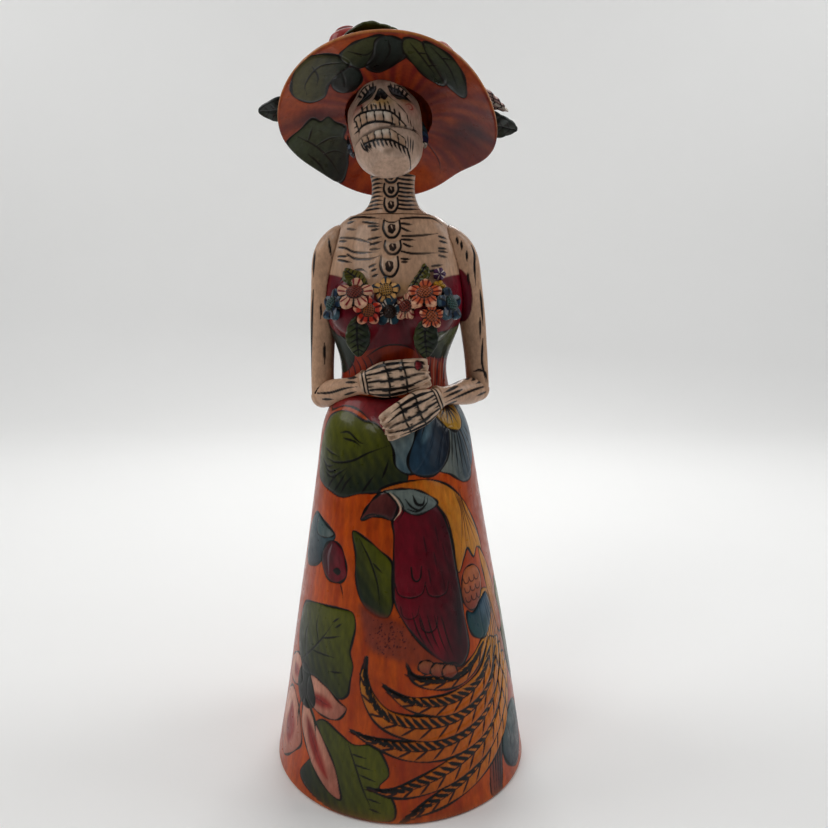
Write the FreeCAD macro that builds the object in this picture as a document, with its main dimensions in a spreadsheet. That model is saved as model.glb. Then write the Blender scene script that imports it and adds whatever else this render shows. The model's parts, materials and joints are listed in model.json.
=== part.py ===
import FreeCAD, Part
import math
import os
import Sketcher
from FreeCAD import Placement, Rotation, Vector

# Catrina: a skeleton lady in a wide brimmed hat and a long bell skirt, in lacquered papier-mache.
#
# Frame: millimetres, +Z up, origin at the centre of the foot on the surface that the figure stands on.
# The figure faces -Y. Its own right side lies at -X and its own left side at +X.
#
# Build order of the real thing: a base board carries a wooden post. The skirt shell is glued round
# the board, a waist disc closes it, and the bodice shell, neck and skull are threaded on the post.
# The arms are paper rolls over two bent wires. The hat is a brim, crown and band, and the flowers,
# leaves, feathers and earrings are moulded separately and glued on.

doc = FreeCAD.newDocument("Catrina")
sheet = doc.addObject("Spreadsheet::Sheet", "Sizes")

# ---------------------------------------------------------------- driving dimensions, millimetres
DIMENSIONS = {
    "shell_wall": 4.0,           # thickness of the paper shells
    "glue_gap": 0.3,             # clearance left between curved faces of neighbours
    "hem_rounding": 2.5,
    "board_thickness": 6.0,
    "board_chamfer": 1.0,
    "post_radius": 6.0,
    "post_top": 416.0,           # height of the post's top end, inside the skull
    "post_clearance": 0.25,
    "screw_shank_radius": 1.8,
    "screw_length": 26.0,
    "screw_head_radius": 4.0,
    "screw_head_depth": 3.0,
    "disc_thickness": 4.0,
    "bust_radius": 18.5,
    "bust_spread": 21.5,
    "bust_forward": 23.5,
    "bust_height": 316.0,
    "figure_lean": -4.5,         # the upper body stands a little to the figure's right
    "head_x": -10.3,
    "head_y": 0.0,
    "head_z": 438.0,
    "head_pitch": -33.0,         # thrown back
    "head_yaw": -4.0,
    "head_roll": -9.0,
    "cranium_half_width": 20.4,
    "cranium_half_depth": 28.5,
    "cranium_half_height": 25.5,
    "eye_spread": 10.0,
    "eye_depth": 27.5,
    "eye_drop": 4.0,
    "eye_radius": 6.0,
    "mouth_height": -25.0,       # the mouth plane, below the middle of the cranium
    "mouth_opening": 3.0,        # degrees
    "hat_x": -7.5,
    "hat_y": 5.3,
    "hat_z": 441.9,
    "hat_pitch": -32.5,
    "hat_yaw": -3.0,
    "hat_roll": 1.5,
    "brim_radius": 70.0,
    "brim_hole_radius": 28.0,
    "brim_droop": 7.0,
    "brim_curve_radius": 165.0,
    "brim_thickness": 3.2,
    "brim_lip": 1.2,
    "crown_radius": 33.0,
    "crown_height": 33.0,
    "crown_wall": 3.0,
    "band_thickness": 1.6,
    "band_height": 8.0,
    "wire_radius": 1.3,
    "rose_radius": 12.5,
    "rose_petal_radius": 7.0,
    "petal_thickness": 3.0,
    "leaf_thickness": 2.4,
    "leaf_edge": 0.8,
    "hat_leaf_length": 36.0,
    "hat_leaf_width": 20.0,
    "feather_length": 66.0,
    "feather_width": 15.0,
    "upper_leaf_length": 22.0,
    "upper_leaf_width": 14.0,
    "hanging_leaf_length": 26.0,
    "hanging_leaf_width": 15.0,
    "earring_length": 20.0,
    "earring_width": 9.0,
    "earring_thickness": 3.0,
    "finger_radius": 3.0,
    "finger_spread": 5.3,
    "flower_depth": 6.0,
    "bud_radius": 4.0,
}

# Shell sections from the foot up: height, half width, half depth, centre x, centre y.
SECTIONS = {
    "skirt": [
        (0.0, 89.4, 89.4, 0.0, 0.0),
        (34.0, 83.6, 83.6, 0.0, 0.0),
        (70.0, 77.9, 77.9, -0.2, 0.0),
        (110.0, 71.4, 71.4, -0.8, 0.0),
        (150.0, 64.4, 64.4, -1.6, 0.0),
        (190.0, 57.8, 57.8, -2.4, 0.0),
        (222.0, 52.8, 52.8, -3.0, 0.0),
        (242.0, 48.8, 48.0, -3.6, 0.0),
        (255.0, 42.6, 40.0, -4.0, 0.0),
        (264.0, 37.4, 33.0, -4.2, 0.0),
    ],
    "bodice": [
        (264.0, 37.4, 33.0, -4.2, 0.0),
        (276.0, 35.4, 29.6, -4.4, 0.0),
        (288.0, 36.8, 29.6, -4.6, -0.5),
        (306.0, 43.0, 31.5, -4.2, -2.0),
        (322.0, 45.4, 31.0, -4.0, -2.5),
        (338.0, 44.4, 28.0, -4.0, -1.0),
        (352.0, 43.0, 24.0, -4.0, 0.5),
        (364.0, 40.4, 20.8, -4.2, 1.5),
        (372.0, 36.0, 18.4, -4.4, 2.0),
        (378.0, 27.6, 15.6, -4.6, 2.0),
    ],
    "neck": [
        (378.0, 26.4, 15.0, -4.6, 2.0),
        (382.0, 18.2, 14.2, -4.6, 1.8),
        (389.0, 14.6, 13.4, -4.6, 1.2),
        (403.0, 14.8, 14.0, -5.0, 0.0),
    ],
    "upper_arm_right": [
        (372.5, 3.6, 5.6, -35.0, 2.0),
        (369.0, 8.4, 9.0, -38.0, 2.0),
        (361.0, 12.0, 11.0, -42.5, 2.0),
        (350.0, 12.6, 11.5, -46.0, 2.0),
        (335.0, 10.8, 10.6, -48.8, 2.0),
        (318.0, 9.0, 9.4, -51.0, 1.8),
        (298.0, 7.8, 8.4, -52.4, 1.5),
        (276.0, 7.2, 7.8, -53.0, 1.0),
        (259.0, 7.5, 7.8, -53.0, 1.0),
    ],
    "upper_arm_left": [
        (372.5, 3.6, 5.6, 26.0, 2.0),
        (369.0, 8.4, 9.0, 29.5, 2.0),
        (361.0, 12.0, 11.0, 35.0, 2.0),
        (350.0, 12.6, 11.5, 39.4, 2.0),
        (335.0, 10.8, 10.6, 43.4, 2.0),
        (318.0, 9.0, 9.4, 47.0, 1.8),
        (298.0, 7.8, 8.4, 49.8, 1.5),
        (278.0, 7.2, 7.8, 51.8, 1.0),
        (263.0, 7.5, 7.8, 52.6, 1.0),
    ],
    # Head frame: height above the middle of the cranium, half width, half depth, centre x, centre y.
    "face": [
        (6.0, 19.8, 25.5, 0.0, -0.4),
        (-6.0, 20.6, 25.8, 0.0, -0.8),
        (-16.0, 19.5, 25.0, 0.0, -1.4),
        (-25.0, 18.0, 23.9, 0.0, -2.1),
    ],
    "jaw": [
        (-25.0, 17.8, 23.7, 0.0, -2.0),
        (-33.0, 16.2, 22.0, 0.0, -1.8),
        (-39.0, 13.2, 18.2, 0.0, -2.8),
        (-43.5, 9.4, 12.0, 0.0, -4.8),
    ],
}

# Joints of each arm. A girth row holds the distance along, the upright and the flat radius.
ARMS = {
    "right": {
        "elbow": (-53.0, 1.0, 258.5),
        "wrist": (-22.0, -34.5, 272.5),
        "fingertips": (16.5, -41.0, 279.0),
    },
    "left": {
        "elbow": (52.6, 1.0, 263.0),
        "wrist": (22.0, -38.5, 263.0),
        "fingertips": (-9.0, -54.5, 247.5),
    },
}
PALM_GIRTH = [(-2.0, 7.2, 4.6), (5.0, 9.6, 5.2), (13.0, 11.6, 5.2), (21.0, 10.6, 4.2)]
ELBOW_RADIUS = 8.2

# Bouquet at the neckline: node, radius, x, height. Later ones are tucked round earlier ones.
FLOWERS = [
    ("bust_flower_orange_1", 11.2, -28.0, 327.0),
    ("bust_flower_orange_2", 10.4, 15.0, 327.0),
    ("bust_flower_brown", 8.6, -8.0, 316.5),
    ("bust_flower_blue_1", 10.0, -41.0, 320.5),
    ("bust_flower_blue_2", 10.4, 29.5, 321.0),
    ("bust_flower_red_1", 8.8, -20.5, 317.5),
    ("bust_flower_red_2", 8.2, 4.0, 319.5),
    ("bust_flower_red_3", 7.4, 19.0, 314.5),
    ("bust_flower_cream", 9.0, -9.0, 329.0),
]
# Leaves of the bouquet: node, size of leaf, x, height, way the tip points (x, z).
BUST_LEAVES = [
    ("bust_leaf_1", "upper", -22.0, 329.0, (-0.35, 1.0)),
    ("bust_leaf_2", "upper", 7.0, 329.0, (0.12, 1.0)),
    ("bust_leaf_3", "hanging", -26.5, 315.0, (0.02, -1.0)),
    ("bust_leaf_4", "hanging", 16.0, 314.0, (-0.02, -1.0)),
]
BUDS = [("bust_bud_yellow", 24.0, 332.0), ("bust_bud_purple", 24.5, 340.0)]

# Hat trimming in the hat's frame: x and y across the brim, z up through the crown.
ROSES = [(-22.0, -43.0), (30.0, -33.0), (-44.0, 14.0)]
HAT_LEAVES = [
    ((-48.0, -5.0, -1.0), (-84.0, -8.0, -7.0)),
    ((48.0, 3.0, -1.0), (84.0, 6.0, -7.0)),
    ((-24.0, -57.0, -1.0), (20.0, -60.0, -1.0)),
    ((24.0, -38.0, -1.0), (54.0, -26.0, -3.0)),
    ((-24.0, -34.0, -1.0), (-50.0, -16.0, -3.0)),
    ((12.0, 31.0, 0.0), (30.0, 55.0, -5.0)),
    ((-12.0, 31.0, 0.0), (-30.0, 55.0, -5.0)),
]
FEATHERS = [((20.0, -30.0, 12.0), (66.0, -4.0, 6.0)), ((31.0, -24.0, 10.0), (45.0, 36.0, 3.0))]


def fill_sheet():
    """Writes every driving dimension to a cell of its own, with its name as the alias."""
    cells = dict(DIMENSIONS)
    for part, rows in SECTIONS.items():
        for number, row in enumerate(rows, 1):
            for word, value in zip(("height", "wide", "deep", "midx", "midy"), row):
                cells[f"{part}_{word}_{number}"] = value
    for line, (alias, value) in enumerate(cells.items(), 1):
        sheet.set(f"A{line}", alias)
        sheet.set(f"B{line}", str(value))
        sheet.setAlias(f"B{line}", alias)
    doc.recompute()


def size(alias):
    return float(sheet.get(alias))


def bind(thing, **expressions):
    """Binds properties to expressions over the sheet; a double underscore stands for a dot."""
    for prop, expression in expressions.items():
        thing.setExpression(prop.replace("__", "."), expression)
    return thing


def frame_of(part, rise=0.0):
    """The frame of the head or the hat: its middle, local +Z up through the crown, face at -Y."""
    turn = (
        Rotation(Vector(0, 0, 1), size(f"{part}_yaw"))
        * Rotation(Vector(1, 0, 0), size(f"{part}_pitch"))
        * Rotation(Vector(0, 1, 0), size(f"{part}_roll"))
    )
    middle = Vector(size(f"{part}_x"), size(f"{part}_y"), size(f"{part}_z"))
    return Placement(middle + turn.multVec(Vector(0, 0, rise)), turn)


# ---------------------------------------------------------------- shared ways of making a piece
def ring(name, part, number, grow="0 mm", lift="0 mm"):
    """One elliptical section of a shell, grown or shrunk and lifted by an expression."""
    row = f"{part}_{{}}_{number}"
    edge = doc.addObject("Part::Ellipse", name)
    return bind(
        edge,
        MajorRadius=f"max(Sizes.{row.format('wide')}; Sizes.{row.format('deep')}) * 1 mm + {grow}",
        MinorRadius=f"min(Sizes.{row.format('wide')}; Sizes.{row.format('deep')}) * 1 mm + {grow}",
        Placement__Base__x=f"Sizes.{row.format('midx')} * 1 mm",
        Placement__Base__y=f"Sizes.{row.format('midy')} * 1 mm",
        Placement__Base__z=f"Sizes.{row.format('height')} * 1 mm + {lift}",
    )


def loft(name, edges):
    made = doc.addObject("Part::Loft", name)
    made.Sections = edges
    made.Solid = True
    return made


def sections_loft(name, part, grow="0 mm", lifts=None):
    """A smooth solid through all of a shell's sections. lifts moves single sections up or down."""
    lifts = lifts or {}
    rows = len(SECTIONS[part])
    return loft(
        name,
        [ring(f"{name}_ring{n}", part, n, grow, lifts.get(n, "0 mm")) for n in range(1, rows + 1)],
    )


def cut(name, base, *tools):
    """base less every tool, one Part::Cut after another. The last has the given name."""
    for number, tool in enumerate(tools, 1):
        last = number == len(tools)
        made = doc.addObject("Part::Cut", name if last else f"{name}_cut{number}")
        made.Base, made.Tool = base, tool
        base = made
    return base


def fuse(name, *shapes):
    made = doc.addObject("Part::MultiFuse", name)
    made.Shapes = list(shapes)
    return made


def cylinder(name, radius, height, place=None):
    made = bind(doc.addObject("Part::Cylinder", name), Radius=radius, Height=height)
    if place:
        made.Placement = place
    return made


def along(start, end, upright=Vector(0, 0, 1)):
    """A frame at start with local +Z towards end and local +X as near upright as it goes."""
    way = (end - start).normalize()
    return Placement(start, Rotation(upright, Vector(), way, "ZXY"))


def plane_of(body, role):
    return next(f for f in body.Origin.OriginFeatures if f.Role == role)


def new_sketch(body, role, name):
    sketch = body.newObject("Sketcher::SketchObject", name)
    sketch.AttachmentSupport = (plane_of(body, role), [""])
    sketch.MapMode = "FlatFace"
    return sketch


def circle_in(sketch, radius):
    number = sketch.addGeometry(Part.Circle(Vector(), Vector(0, 0, 1), 10.0))
    sketch.addConstraint(Sketcher.Constraint("Coincident", number, 3, -1, 1))
    sketch.addConstraint(Sketcher.Constraint("Radius", number, 10.0))
    sketch.setExpression(f"Constraints[{sketch.ConstraintCount - 1}]", radius)


def lens_in(sketch, length, width):
    """A leaf outline along local X, from the origin to its tip: two equal arcs."""
    long, wide = size(length), size(width)
    bulge = long * long / (4 * wide) + wide / 4
    middle = long / 2
    ends = Vector(0, 0, 0), Vector(long, 0, 0)
    arcs = [
        sketch.addGeometry(Part.Arc(ends[0], Vector(middle, side * wide / 2, 0), ends[1]))
        for side in (1, -1)
    ]
    upper, lower = arcs
    # An arc made through three points runs anticlockwise, so the upper one starts at the tip.
    constraints = [
        Sketcher.Constraint("Coincident", upper, 2, lower, 1),
        Sketcher.Constraint("Coincident", upper, 1, lower, 2),
        Sketcher.Constraint("Coincident", lower, 1, -1, 1),
        Sketcher.Constraint("PointOnObject", lower, 2, -1),
        Sketcher.Constraint("DistanceX", lower, 1, lower, 2, long),
        Sketcher.Constraint("Radius", upper, bulge),
        Sketcher.Constraint("Radius", lower, bulge),
    ]
    for constraint in constraints:
        sketch.addConstraint(constraint)
    half = f"Sizes.{length} * Sizes.{length} / (4 * Sizes.{width}) + Sizes.{width} / 4"
    sketch.setExpression("Constraints[4]", f"Sizes.{length} * 1 mm")
    sketch.setExpression("Constraints[5]", f"({half}) * 1 mm")
    sketch.setExpression("Constraints[6]", f"({half}) * 1 mm")


def pad(body, sketch, name, length):
    made = body.newObject("PartDesign::Pad", name)
    made.Profile = sketch
    made.setExpression("Length", length)
    return made


def leaf_body(name, length, width, thickness, place):
    """A pointed moulded leaf, flat below and eased round its upper edge."""
    body = doc.addObject("PartDesign::Body", name)
    outline = new_sketch(body, "XY_Plane", f"{name}_outline")
    lens_in(outline, length, width)
    sheet_of_paper = pad(body, outline, f"{name}_pad", f"Sizes.{thickness} * 1 mm")
    doc.recompute()
    easing = body.newObject("PartDesign::Chamfer", f"{name}_easing")
    top = [
        f"Edge{n}"
        for n, edge in enumerate(sheet_of_paper.Shape.Edges, 1)
        if min(v.Z for v in edge.Vertexes) > size(thickness) - 0.01
    ]
    easing.Base = (sheet_of_paper, top)
    easing.setExpression("Size", "Sizes.leaf_edge * 1 mm")
    body.Placement = place
    return body


def ring_of_petals(name, radius, petal_radius, count=5):
    """Round petal lobes side by side in a circle, flat underneath."""
    petals = []
    for number in range(count):
        turn = 2 * math.pi * number / count
        petal = cylinder(f"{name}_petal{number + 1}", petal_radius, "Sizes.petal_thickness * 1 mm")
        bind(
            petal,
            Placement__Base__x=f"(({radius}) - ({petal_radius})) * {math.cos(turn):.5f}",
            Placement__Base__y=f"(({radius}) - ({petal_radius})) * {math.sin(turn):.5f}",
        )
        petals.append(petal)
    return petals


def flat_flower(name, radius, place):
    """A flower of five lobes round a low dome."""
    heart = bind(
        doc.addObject("Part::Ellipsoid", f"{name}_heart"),
        Radius1="Sizes.flower_depth * 1 mm",
        Radius2=f"{0.6 * radius} mm",
        Radius3=f"{0.6 * radius} mm",
    )
    heart.Angle1 = 0
    made = fuse(f"{name}_whole", heart, *ring_of_petals(name, f"{radius} mm", f"{0.42 * radius} mm"))
    made.Placement = place
    return made


def rose(name, place):
    """A full rose: a ball of petals standing on a ring of lobes."""
    ball = bind(
        doc.addObject("Part::Sphere", f"{name}_ball"),
        Radius="Sizes.rose_radius * 1 mm",
        Placement__Base__z="0.8 * Sizes.rose_radius * 1 mm",
    )
    lobes = ring_of_petals(
        name, "1.15 * Sizes.rose_radius * 1 mm", "Sizes.rose_petal_radius * 1 mm"
    )
    made = fuse(f"{name}_whole", ball, *lobes)
    made.Placement = place
    return made


def trimmed(name, whole, others):
    """whole less the others that come near it, so that neighbours touch and never overlap."""
    doc.recompute()
    box = whole.Shape.BoundBox
    near = [o for o in others if o.Shape.BoundBox.intersect(box)]
    return cut(name, whole, *near) if near else fuse(name, whole)


# ---------------------------------------------------------------- base, post and shells
def make_base_board():
    """Round board in the mouth of the skirt, with a countersunk hole for the post's screw."""
    body = doc.addObject("PartDesign::Body", "base_board")
    outline = new_sketch(body, "XY_Plane", "board_outline")
    inner = "(Sizes.skirt_wide_1 - Sizes.shell_wall - Sizes.glue_gap) * 1 mm"
    circle_in(outline, inner)
    plate = pad(body, outline, "board_pad", "Sizes.board_thickness * 1 mm")
    doc.recompute()
    seat = new_sketch(body, "XY_Plane", "screw_seat")
    circle_in(seat, "Sizes.screw_shank_radius * 1 mm")
    doc.recompute()
    hole = body.newObject("PartDesign::Hole", "screw_hole")
    hole.Profile = seat
    doc.recompute()
    hole.Reversed = True
    hole.setExpression("Diameter", "2 * Sizes.screw_shank_radius * 1 mm")
    hole.DepthType = "ThroughAll"
    hole.HoleCutType = "Counterbore"
    hole.HoleCutCustomValues = True
    hole.setExpression("HoleCutDiameter", "2 * (Sizes.screw_head_radius + 0.2) * 1 mm")
    hole.setExpression("HoleCutDepth", "(Sizes.screw_head_depth + 0.4) * 1 mm")
    doc.recompute()
    easing = body.newObject("PartDesign::Chamfer", "board_easing")
    rim = [
        f"Edge{n}"
        for n, edge in enumerate(hole.Shape.Edges, 1)
        if edge.BoundBox.XLength > 2 * size("screw_head_radius") + 20 and edge.BoundBox.ZMin > 1
        and edge.BoundBox.ZLength < 0.01
    ]
    easing.Base = (hole, rim)
    easing.setExpression("Size", "Sizes.board_chamfer * 1 mm")
    return body


def make_post_and_screw():
    rod = cylinder(
        "post_rod",
        "Sizes.post_radius * 1 mm",
        "(Sizes.post_top - Sizes.board_thickness) * 1 mm",
    )
    bind(rod, Placement__Base__z="Sizes.board_thickness * 1 mm")
    head_lift = 0.4
    shank = cylinder("screw_shank", "Sizes.screw_shank_radius * 1 mm", "Sizes.screw_length * 1 mm")
    shank.Placement = Placement(Vector(0, 0, head_lift), Rotation())
    head = doc.addObject("Part::Cone", "screw_head")
    bind(
        head,
        Radius1="Sizes.screw_head_radius * 1 mm",
        Radius2="Sizes.screw_shank_radius * 1 mm",
        Height="Sizes.screw_head_depth * 1 mm",
    )
    head.Placement = Placement(Vector(0, 0, head_lift), Rotation())
    screw = fuse("base_screw", shank, head)
    post = cut("centre_post", rod, screw)
    return post, screw


def post_bore(name):
    return cylinder(
        name,
        "(Sizes.post_radius + Sizes.post_clearance) * 1 mm",
        "(Sizes.post_top + Sizes.post_clearance) * 1 mm",
    )


def make_skirt():
    """The bell skirt: a thin shell open at the foot and at the waist."""
    outer = sections_loft("skirt_outer", "skirt")
    rows = len(SECTIONS["skirt"])
    inner = sections_loft(
        "skirt_inner",
        "skirt",
        "-1 * Sizes.shell_wall * 1 mm",
        {1: "-1 mm", rows: "1 mm"},
    )
    shell = cut("skirt_cut", outer, inner)
    doc.recompute()
    hem = next(
        n
        for n, edge in enumerate(shell.Shape.Edges, 1)
        if edge.BoundBox.ZMax < 0.01 and edge.BoundBox.XLength > 2 * size("skirt_wide_1") - 1
    )
    rounded = doc.addObject("Part::Fillet", "skirt_shell")
    rounded.Base = shell
    rounded.Edges = [(hem, size("hem_rounding"), size("hem_rounding"))]
    return outer, rounded


def make_waist_disc():
    """Disc in the skirt's top opening: it centres the post and carries the bodice."""
    rows = len(SECTIONS["skirt"])
    row = f"Sizes.skirt_{{}}_{rows}"
    disc = doc.addObject("Part::Ellipse", "disc_outline")
    bind(
        disc,
        MajorRadius=f"({row.format('wide')} - Sizes.shell_wall - Sizes.glue_gap) * 1 mm",
        MinorRadius=f"({row.format('deep')} - Sizes.shell_wall - Sizes.glue_gap) * 1 mm",
        Placement__Base__x=f"{row.format('midx')} * 1 mm",
        Placement__Base__z=f"({row.format('height')} - Sizes.disc_thickness) * 1 mm",
    )
    plate = doc.addObject("Part::Extrusion", "disc_plate")
    plate.Base = disc
    plate.DirMode = "Custom"
    plate.Dir = Vector(0, 0, 1)
    plate.Solid = True
    bind(plate, LengthFwd="Sizes.disc_thickness * 1 mm")
    return cut("waist_disc", plate, post_bore("disc_bore"))


def make_bodice(bore):
    """The body from waist to shoulders, with two bust cups, hollow below a solid yoke."""
    trunk = sections_loft("bodice_trunk", "bodice")
    cups = []
    for side, word in ((-1, "right"), (1, "left")):
        cup = bind(
            doc.addObject("Part::Sphere", f"bust_cup_{word}"),
            Radius="Sizes.bust_radius * 1 mm",
            Placement__Base__x=f"(Sizes.figure_lean + {side} * Sizes.bust_spread) * 1 mm",
            Placement__Base__y="-1 * Sizes.bust_forward * 1 mm",
            Placement__Base__z="Sizes.bust_height * 1 mm",
        )
        cups.append(cup)
    outer = fuse("bodice_outer", trunk, *cups)
    hollow_rows = len(SECTIONS["bodice"]) - 2
    rings = [
        ring(
            f"bodice_hollow_ring{n}",
            "bodice",
            n,
            "-1 * Sizes.shell_wall * 1 mm",
            "-1 mm" if n == 1 else "0 mm",
        )
        for n in range(1, hollow_rows + 1)
    ]
    hollow = loft("bodice_hollow", rings)
    return outer, cut("bodice_shell", outer, hollow, bore)


def make_neck(bore):
    """The neck: a tube with a flared foot, threaded on the post."""
    tube = sections_loft("neck_tube", "neck")
    return tube, cut("neck", tube, bore)


# ---------------------------------------------------------------- head and hat
def make_head(neck, bore):
    """Skull and lower jaw. The jaw is a separate piece that leaves the mouth open in front."""
    place = frame_of("head")
    cranium = bind(
        doc.addObject("Part::Ellipsoid", "cranium"),
        Radius1="Sizes.cranium_half_height * 1 mm",
        Radius2="Sizes.cranium_half_width * 1 mm",
        Radius3="Sizes.cranium_half_depth * 1 mm",
    )
    whole = fuse("skull_whole", cranium, sections_loft("face_block", "face"))
    whole.Placement = place
    sockets = []
    for side, word in ((-1, "right"), (1, "left")):
        socket = doc.addObject("Part::Sphere", f"eye_socket_{word}")
        bind(socket, Radius="Sizes.eye_radius * 1 mm")
        middle = Vector(side * size("eye_spread"), -size("eye_depth"), -size("eye_drop"))
        socket.Placement = place.multiply(Placement(middle, Rotation()))
        sockets.append(socket)
    nose = doc.addObject("Part::Ellipsoid", "nose_hole")
    nose.Radius1, nose.Radius2, nose.Radius3 = 4.0, 3.0, 3.0
    nose_middle = Vector(0, -size("eye_depth") + 0.6, -2.2 * size("eye_drop"))
    nose.Placement = place.multiply(Placement(nose_middle, Rotation()))
    jaw_block = sections_loft("jaw_block", "jaw")
    gape = doc.addObject("Part::Box", "mouth_wedge")
    reach = 80.0
    gape.Length, gape.Width, gape.Height = reach, reach, 20.0
    hinge_back = 9.0
    gape.Placement = Placement(
        Vector(-reach / 2, hinge_back, size("mouth_height")),
        Rotation(Vector(1, 0, 0), size("mouth_opening")),
    ).multiply(Placement(Vector(0, -reach, 0), Rotation()))
    jaw_open = cut("jaw_open", jaw_block, gape)
    jaw_open.Placement = place
    jaw = cut("lower_jaw", jaw_open, whole, neck, bore)
    skull = cut("skull", whole, neck, bore, nose, *sockets)
    return skull, jaw, whole


def make_brim(skull_whole):
    """The brim: one dished sheet with a rounded lip, fitted round the skull."""
    body = doc.addObject("PartDesign::Body", "brim_sheet")
    sketch = new_sketch(body, "XZ_Plane", "brim_profile")
    hole, rim = size("brim_hole_radius"), size("brim_radius")
    droop, thick, curve = (size(f"brim_{w}") for w in ("droop", "thickness", "curve_radius"))
    chord = Vector(rim - hole, -droop, 0)
    rise = curve - math.sqrt(curve**2 - (chord.Length / 2) ** 2)
    bow = Vector(droop, rim - hole, 0).normalize() * rise

    def arc(drop):
        a, b = Vector(hole, -drop, 0), Vector(rim, -droop - drop, 0)
        return Part.Arc(a, (a + b) * 0.5 + bow, b)

    top = sketch.addGeometry(arc(0.0))
    under = sketch.addGeometry(arc(thick))
    edge = sketch.addGeometry(
        Part.LineSegment(Vector(rim, -droop, 0), Vector(rim, -droop - thick, 0))
    )
    bore = sketch.addGeometry(Part.LineSegment(Vector(hole, -thick, 0), Vector(hole, 0, 0)))
    # The arcs run anticlockwise, so they start at the rim and end at the hole.
    constraints = [
        ("Coincident", top, 1, edge, 1),
        ("Coincident", under, 1, edge, 2),
        ("Coincident", under, 2, bore, 1),
        ("Coincident", top, 2, bore, 2),
        ("Vertical", edge),
        ("Vertical", bore),
        ("PointOnObject", bore, 2, -1),
        ("DistanceX", -1, 1, bore, 2, hole),
        ("DistanceX", -1, 1, edge, 1, rim),
        ("DistanceY", edge, 1, -1, 1, droop),
        ("DistanceY", bore, 1, bore, 2, thick),
        ("DistanceY", edge, 2, edge, 1, thick),
        ("Radius", top, curve),
        ("Radius", under, curve),
    ]
    for constraint in constraints:
        sketch.addConstraint(Sketcher.Constraint(*constraint))
    bound = {
        7: "brim_hole_radius",
        8: "brim_radius",
        9: "brim_droop",
        10: "brim_thickness",
        11: "brim_thickness",
        12: "brim_curve_radius",
        13: "brim_curve_radius",
    }
    for number, alias in bound.items():
        sketch.setExpression(f"Constraints[{number}]", f"Sizes.{alias} * 1 mm")
    turn = body.newObject("PartDesign::Revolution", "brim_turning")
    turn.Profile = sketch
    turn.ReferenceAxis = (sketch, ["V_Axis"])
    turn.Angle = 360
    doc.recompute()
    lip = body.newObject("PartDesign::Fillet", "brim_lip_rounding")
    outer = [
        f"Edge{n}"
        for n, e in enumerate(turn.Shape.Edges, 1)
        if e.BoundBox.XLength > 2 * rim - 0.5 and e.BoundBox.ZLength < 0.01
    ]
    lip.Base = (turn, outer)
    lip.setExpression("Radius", "Sizes.brim_lip * 1 mm")
    body.Placement = frame_of("hat")
    return cut("hat_brim", body, skull_whole)


def half_ellipsoid(name, radius, height):
    made = bind(
        doc.addObject("Part::Ellipsoid", name), Radius1=height, Radius2=radius, Radius3=radius
    )
    made.Angle1 = 0
    return made


def make_crown_and_band(skull_whole):
    """The crown's dome stands on the brim over the top of the skull, with a ribbon round its foot."""
    outer = half_ellipsoid("crown_outer", "Sizes.crown_radius * 1 mm", "Sizes.crown_height * 1 mm")
    inner = half_ellipsoid(
        "crown_inner",
        "(Sizes.crown_radius - Sizes.crown_wall) * 1 mm",
        "(Sizes.crown_height - Sizes.crown_wall) * 1 mm",
    )
    dome_shell = cut("crown_shell", outer, inner)
    dome_shell.Placement = frame_of("hat", size("glue_gap"))
    crown = cut("hat_crown", dome_shell, skull_whole)
    ribbon = cylinder(
        "ribbon_outer",
        "(Sizes.crown_radius + Sizes.band_thickness) * 1 mm",
        "Sizes.band_height * 1 mm",
    )
    seat = half_ellipsoid(
        "ribbon_inner", "Sizes.crown_radius * 1 mm", "Sizes.crown_height * 1 mm"
    )
    ribbon_ring = cut("ribbon_ring", ribbon, seat)
    ribbon_ring.Placement = frame_of("hat", size("glue_gap"))
    band = cut("hat_band", ribbon_ring, skull_whole)
    return crown, band


def lay(frame, start, end, facing=Vector(0, 0, 1)):
    """A place in a frame: local +X from start towards end, local +Z as near facing as it goes."""
    a, b = Vector(*start), Vector(*end)
    return frame.multiply(Placement(a, Rotation(b - a, Vector(), facing, "XZY")))


def make_hat_trim(fixed):
    """Roses, leaves and feathers on the upper side of the brim, fitted round what is fixed there."""
    frame = frame_of("hat")
    made = []
    for number, (x, y) in enumerate(ROSES, 1):
        name = f"hat_rose_{number}"
        whole = rose(name, frame.multiply(Placement(Vector(x, y, -2.0), Rotation())))
        made.append(trimmed(name, whole, fixed + made))
    for kind, size_name, laid in (("leaf", "hat_leaf", HAT_LEAVES), ("feather", "feather", FEATHERS)):
        for number, (start, end) in enumerate(laid, 1):
            name = f"hat_{kind}_{number}"
            whole = leaf_body(
                f"{name}_whole",
                f"{size_name}_length",
                f"{size_name}_width",
                "leaf_thickness",
                lay(frame, start, end),
            )
            made.append(trimmed(name, whole, fixed + made))
    return made


def make_earrings(fixed):
    """Long drops that hang beside the cheeks."""
    made = []
    for side, word in ((-1, "right"), (1, "left")):
        top = (side * 22.4, -2.0, -8.0)
        bottom = (side * 22.4, 2.0, -28.0)
        whole = leaf_body(
            f"earring_{word}_whole",
            "earring_length",
            "earring_width",
            "earring_thickness",
            lay(frame_of("head"), top, bottom, Vector(side, -1, 0)),
        )
        made.append(trimmed(f"earring_{word}", whole, fixed))
    return made


# ---------------------------------------------------------------- arms
def roll(name, rows, start, end):
    """A tapered roll from start towards end. A row holds the distance, upright and flat radius."""
    rings = []
    for number, (distance, upright, flat) in enumerate(rows, 1):
        edge = doc.addObject("Part::Ellipse", f"{name}_ring{number}")
        edge.MajorRadius, edge.MinorRadius = upright, flat
        edge.Placement = Placement(Vector(0, 0, distance), Rotation())
        rings.append(edge)
    made = loft(name, rings)
    made.Placement = along(start, end)
    return made


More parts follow.
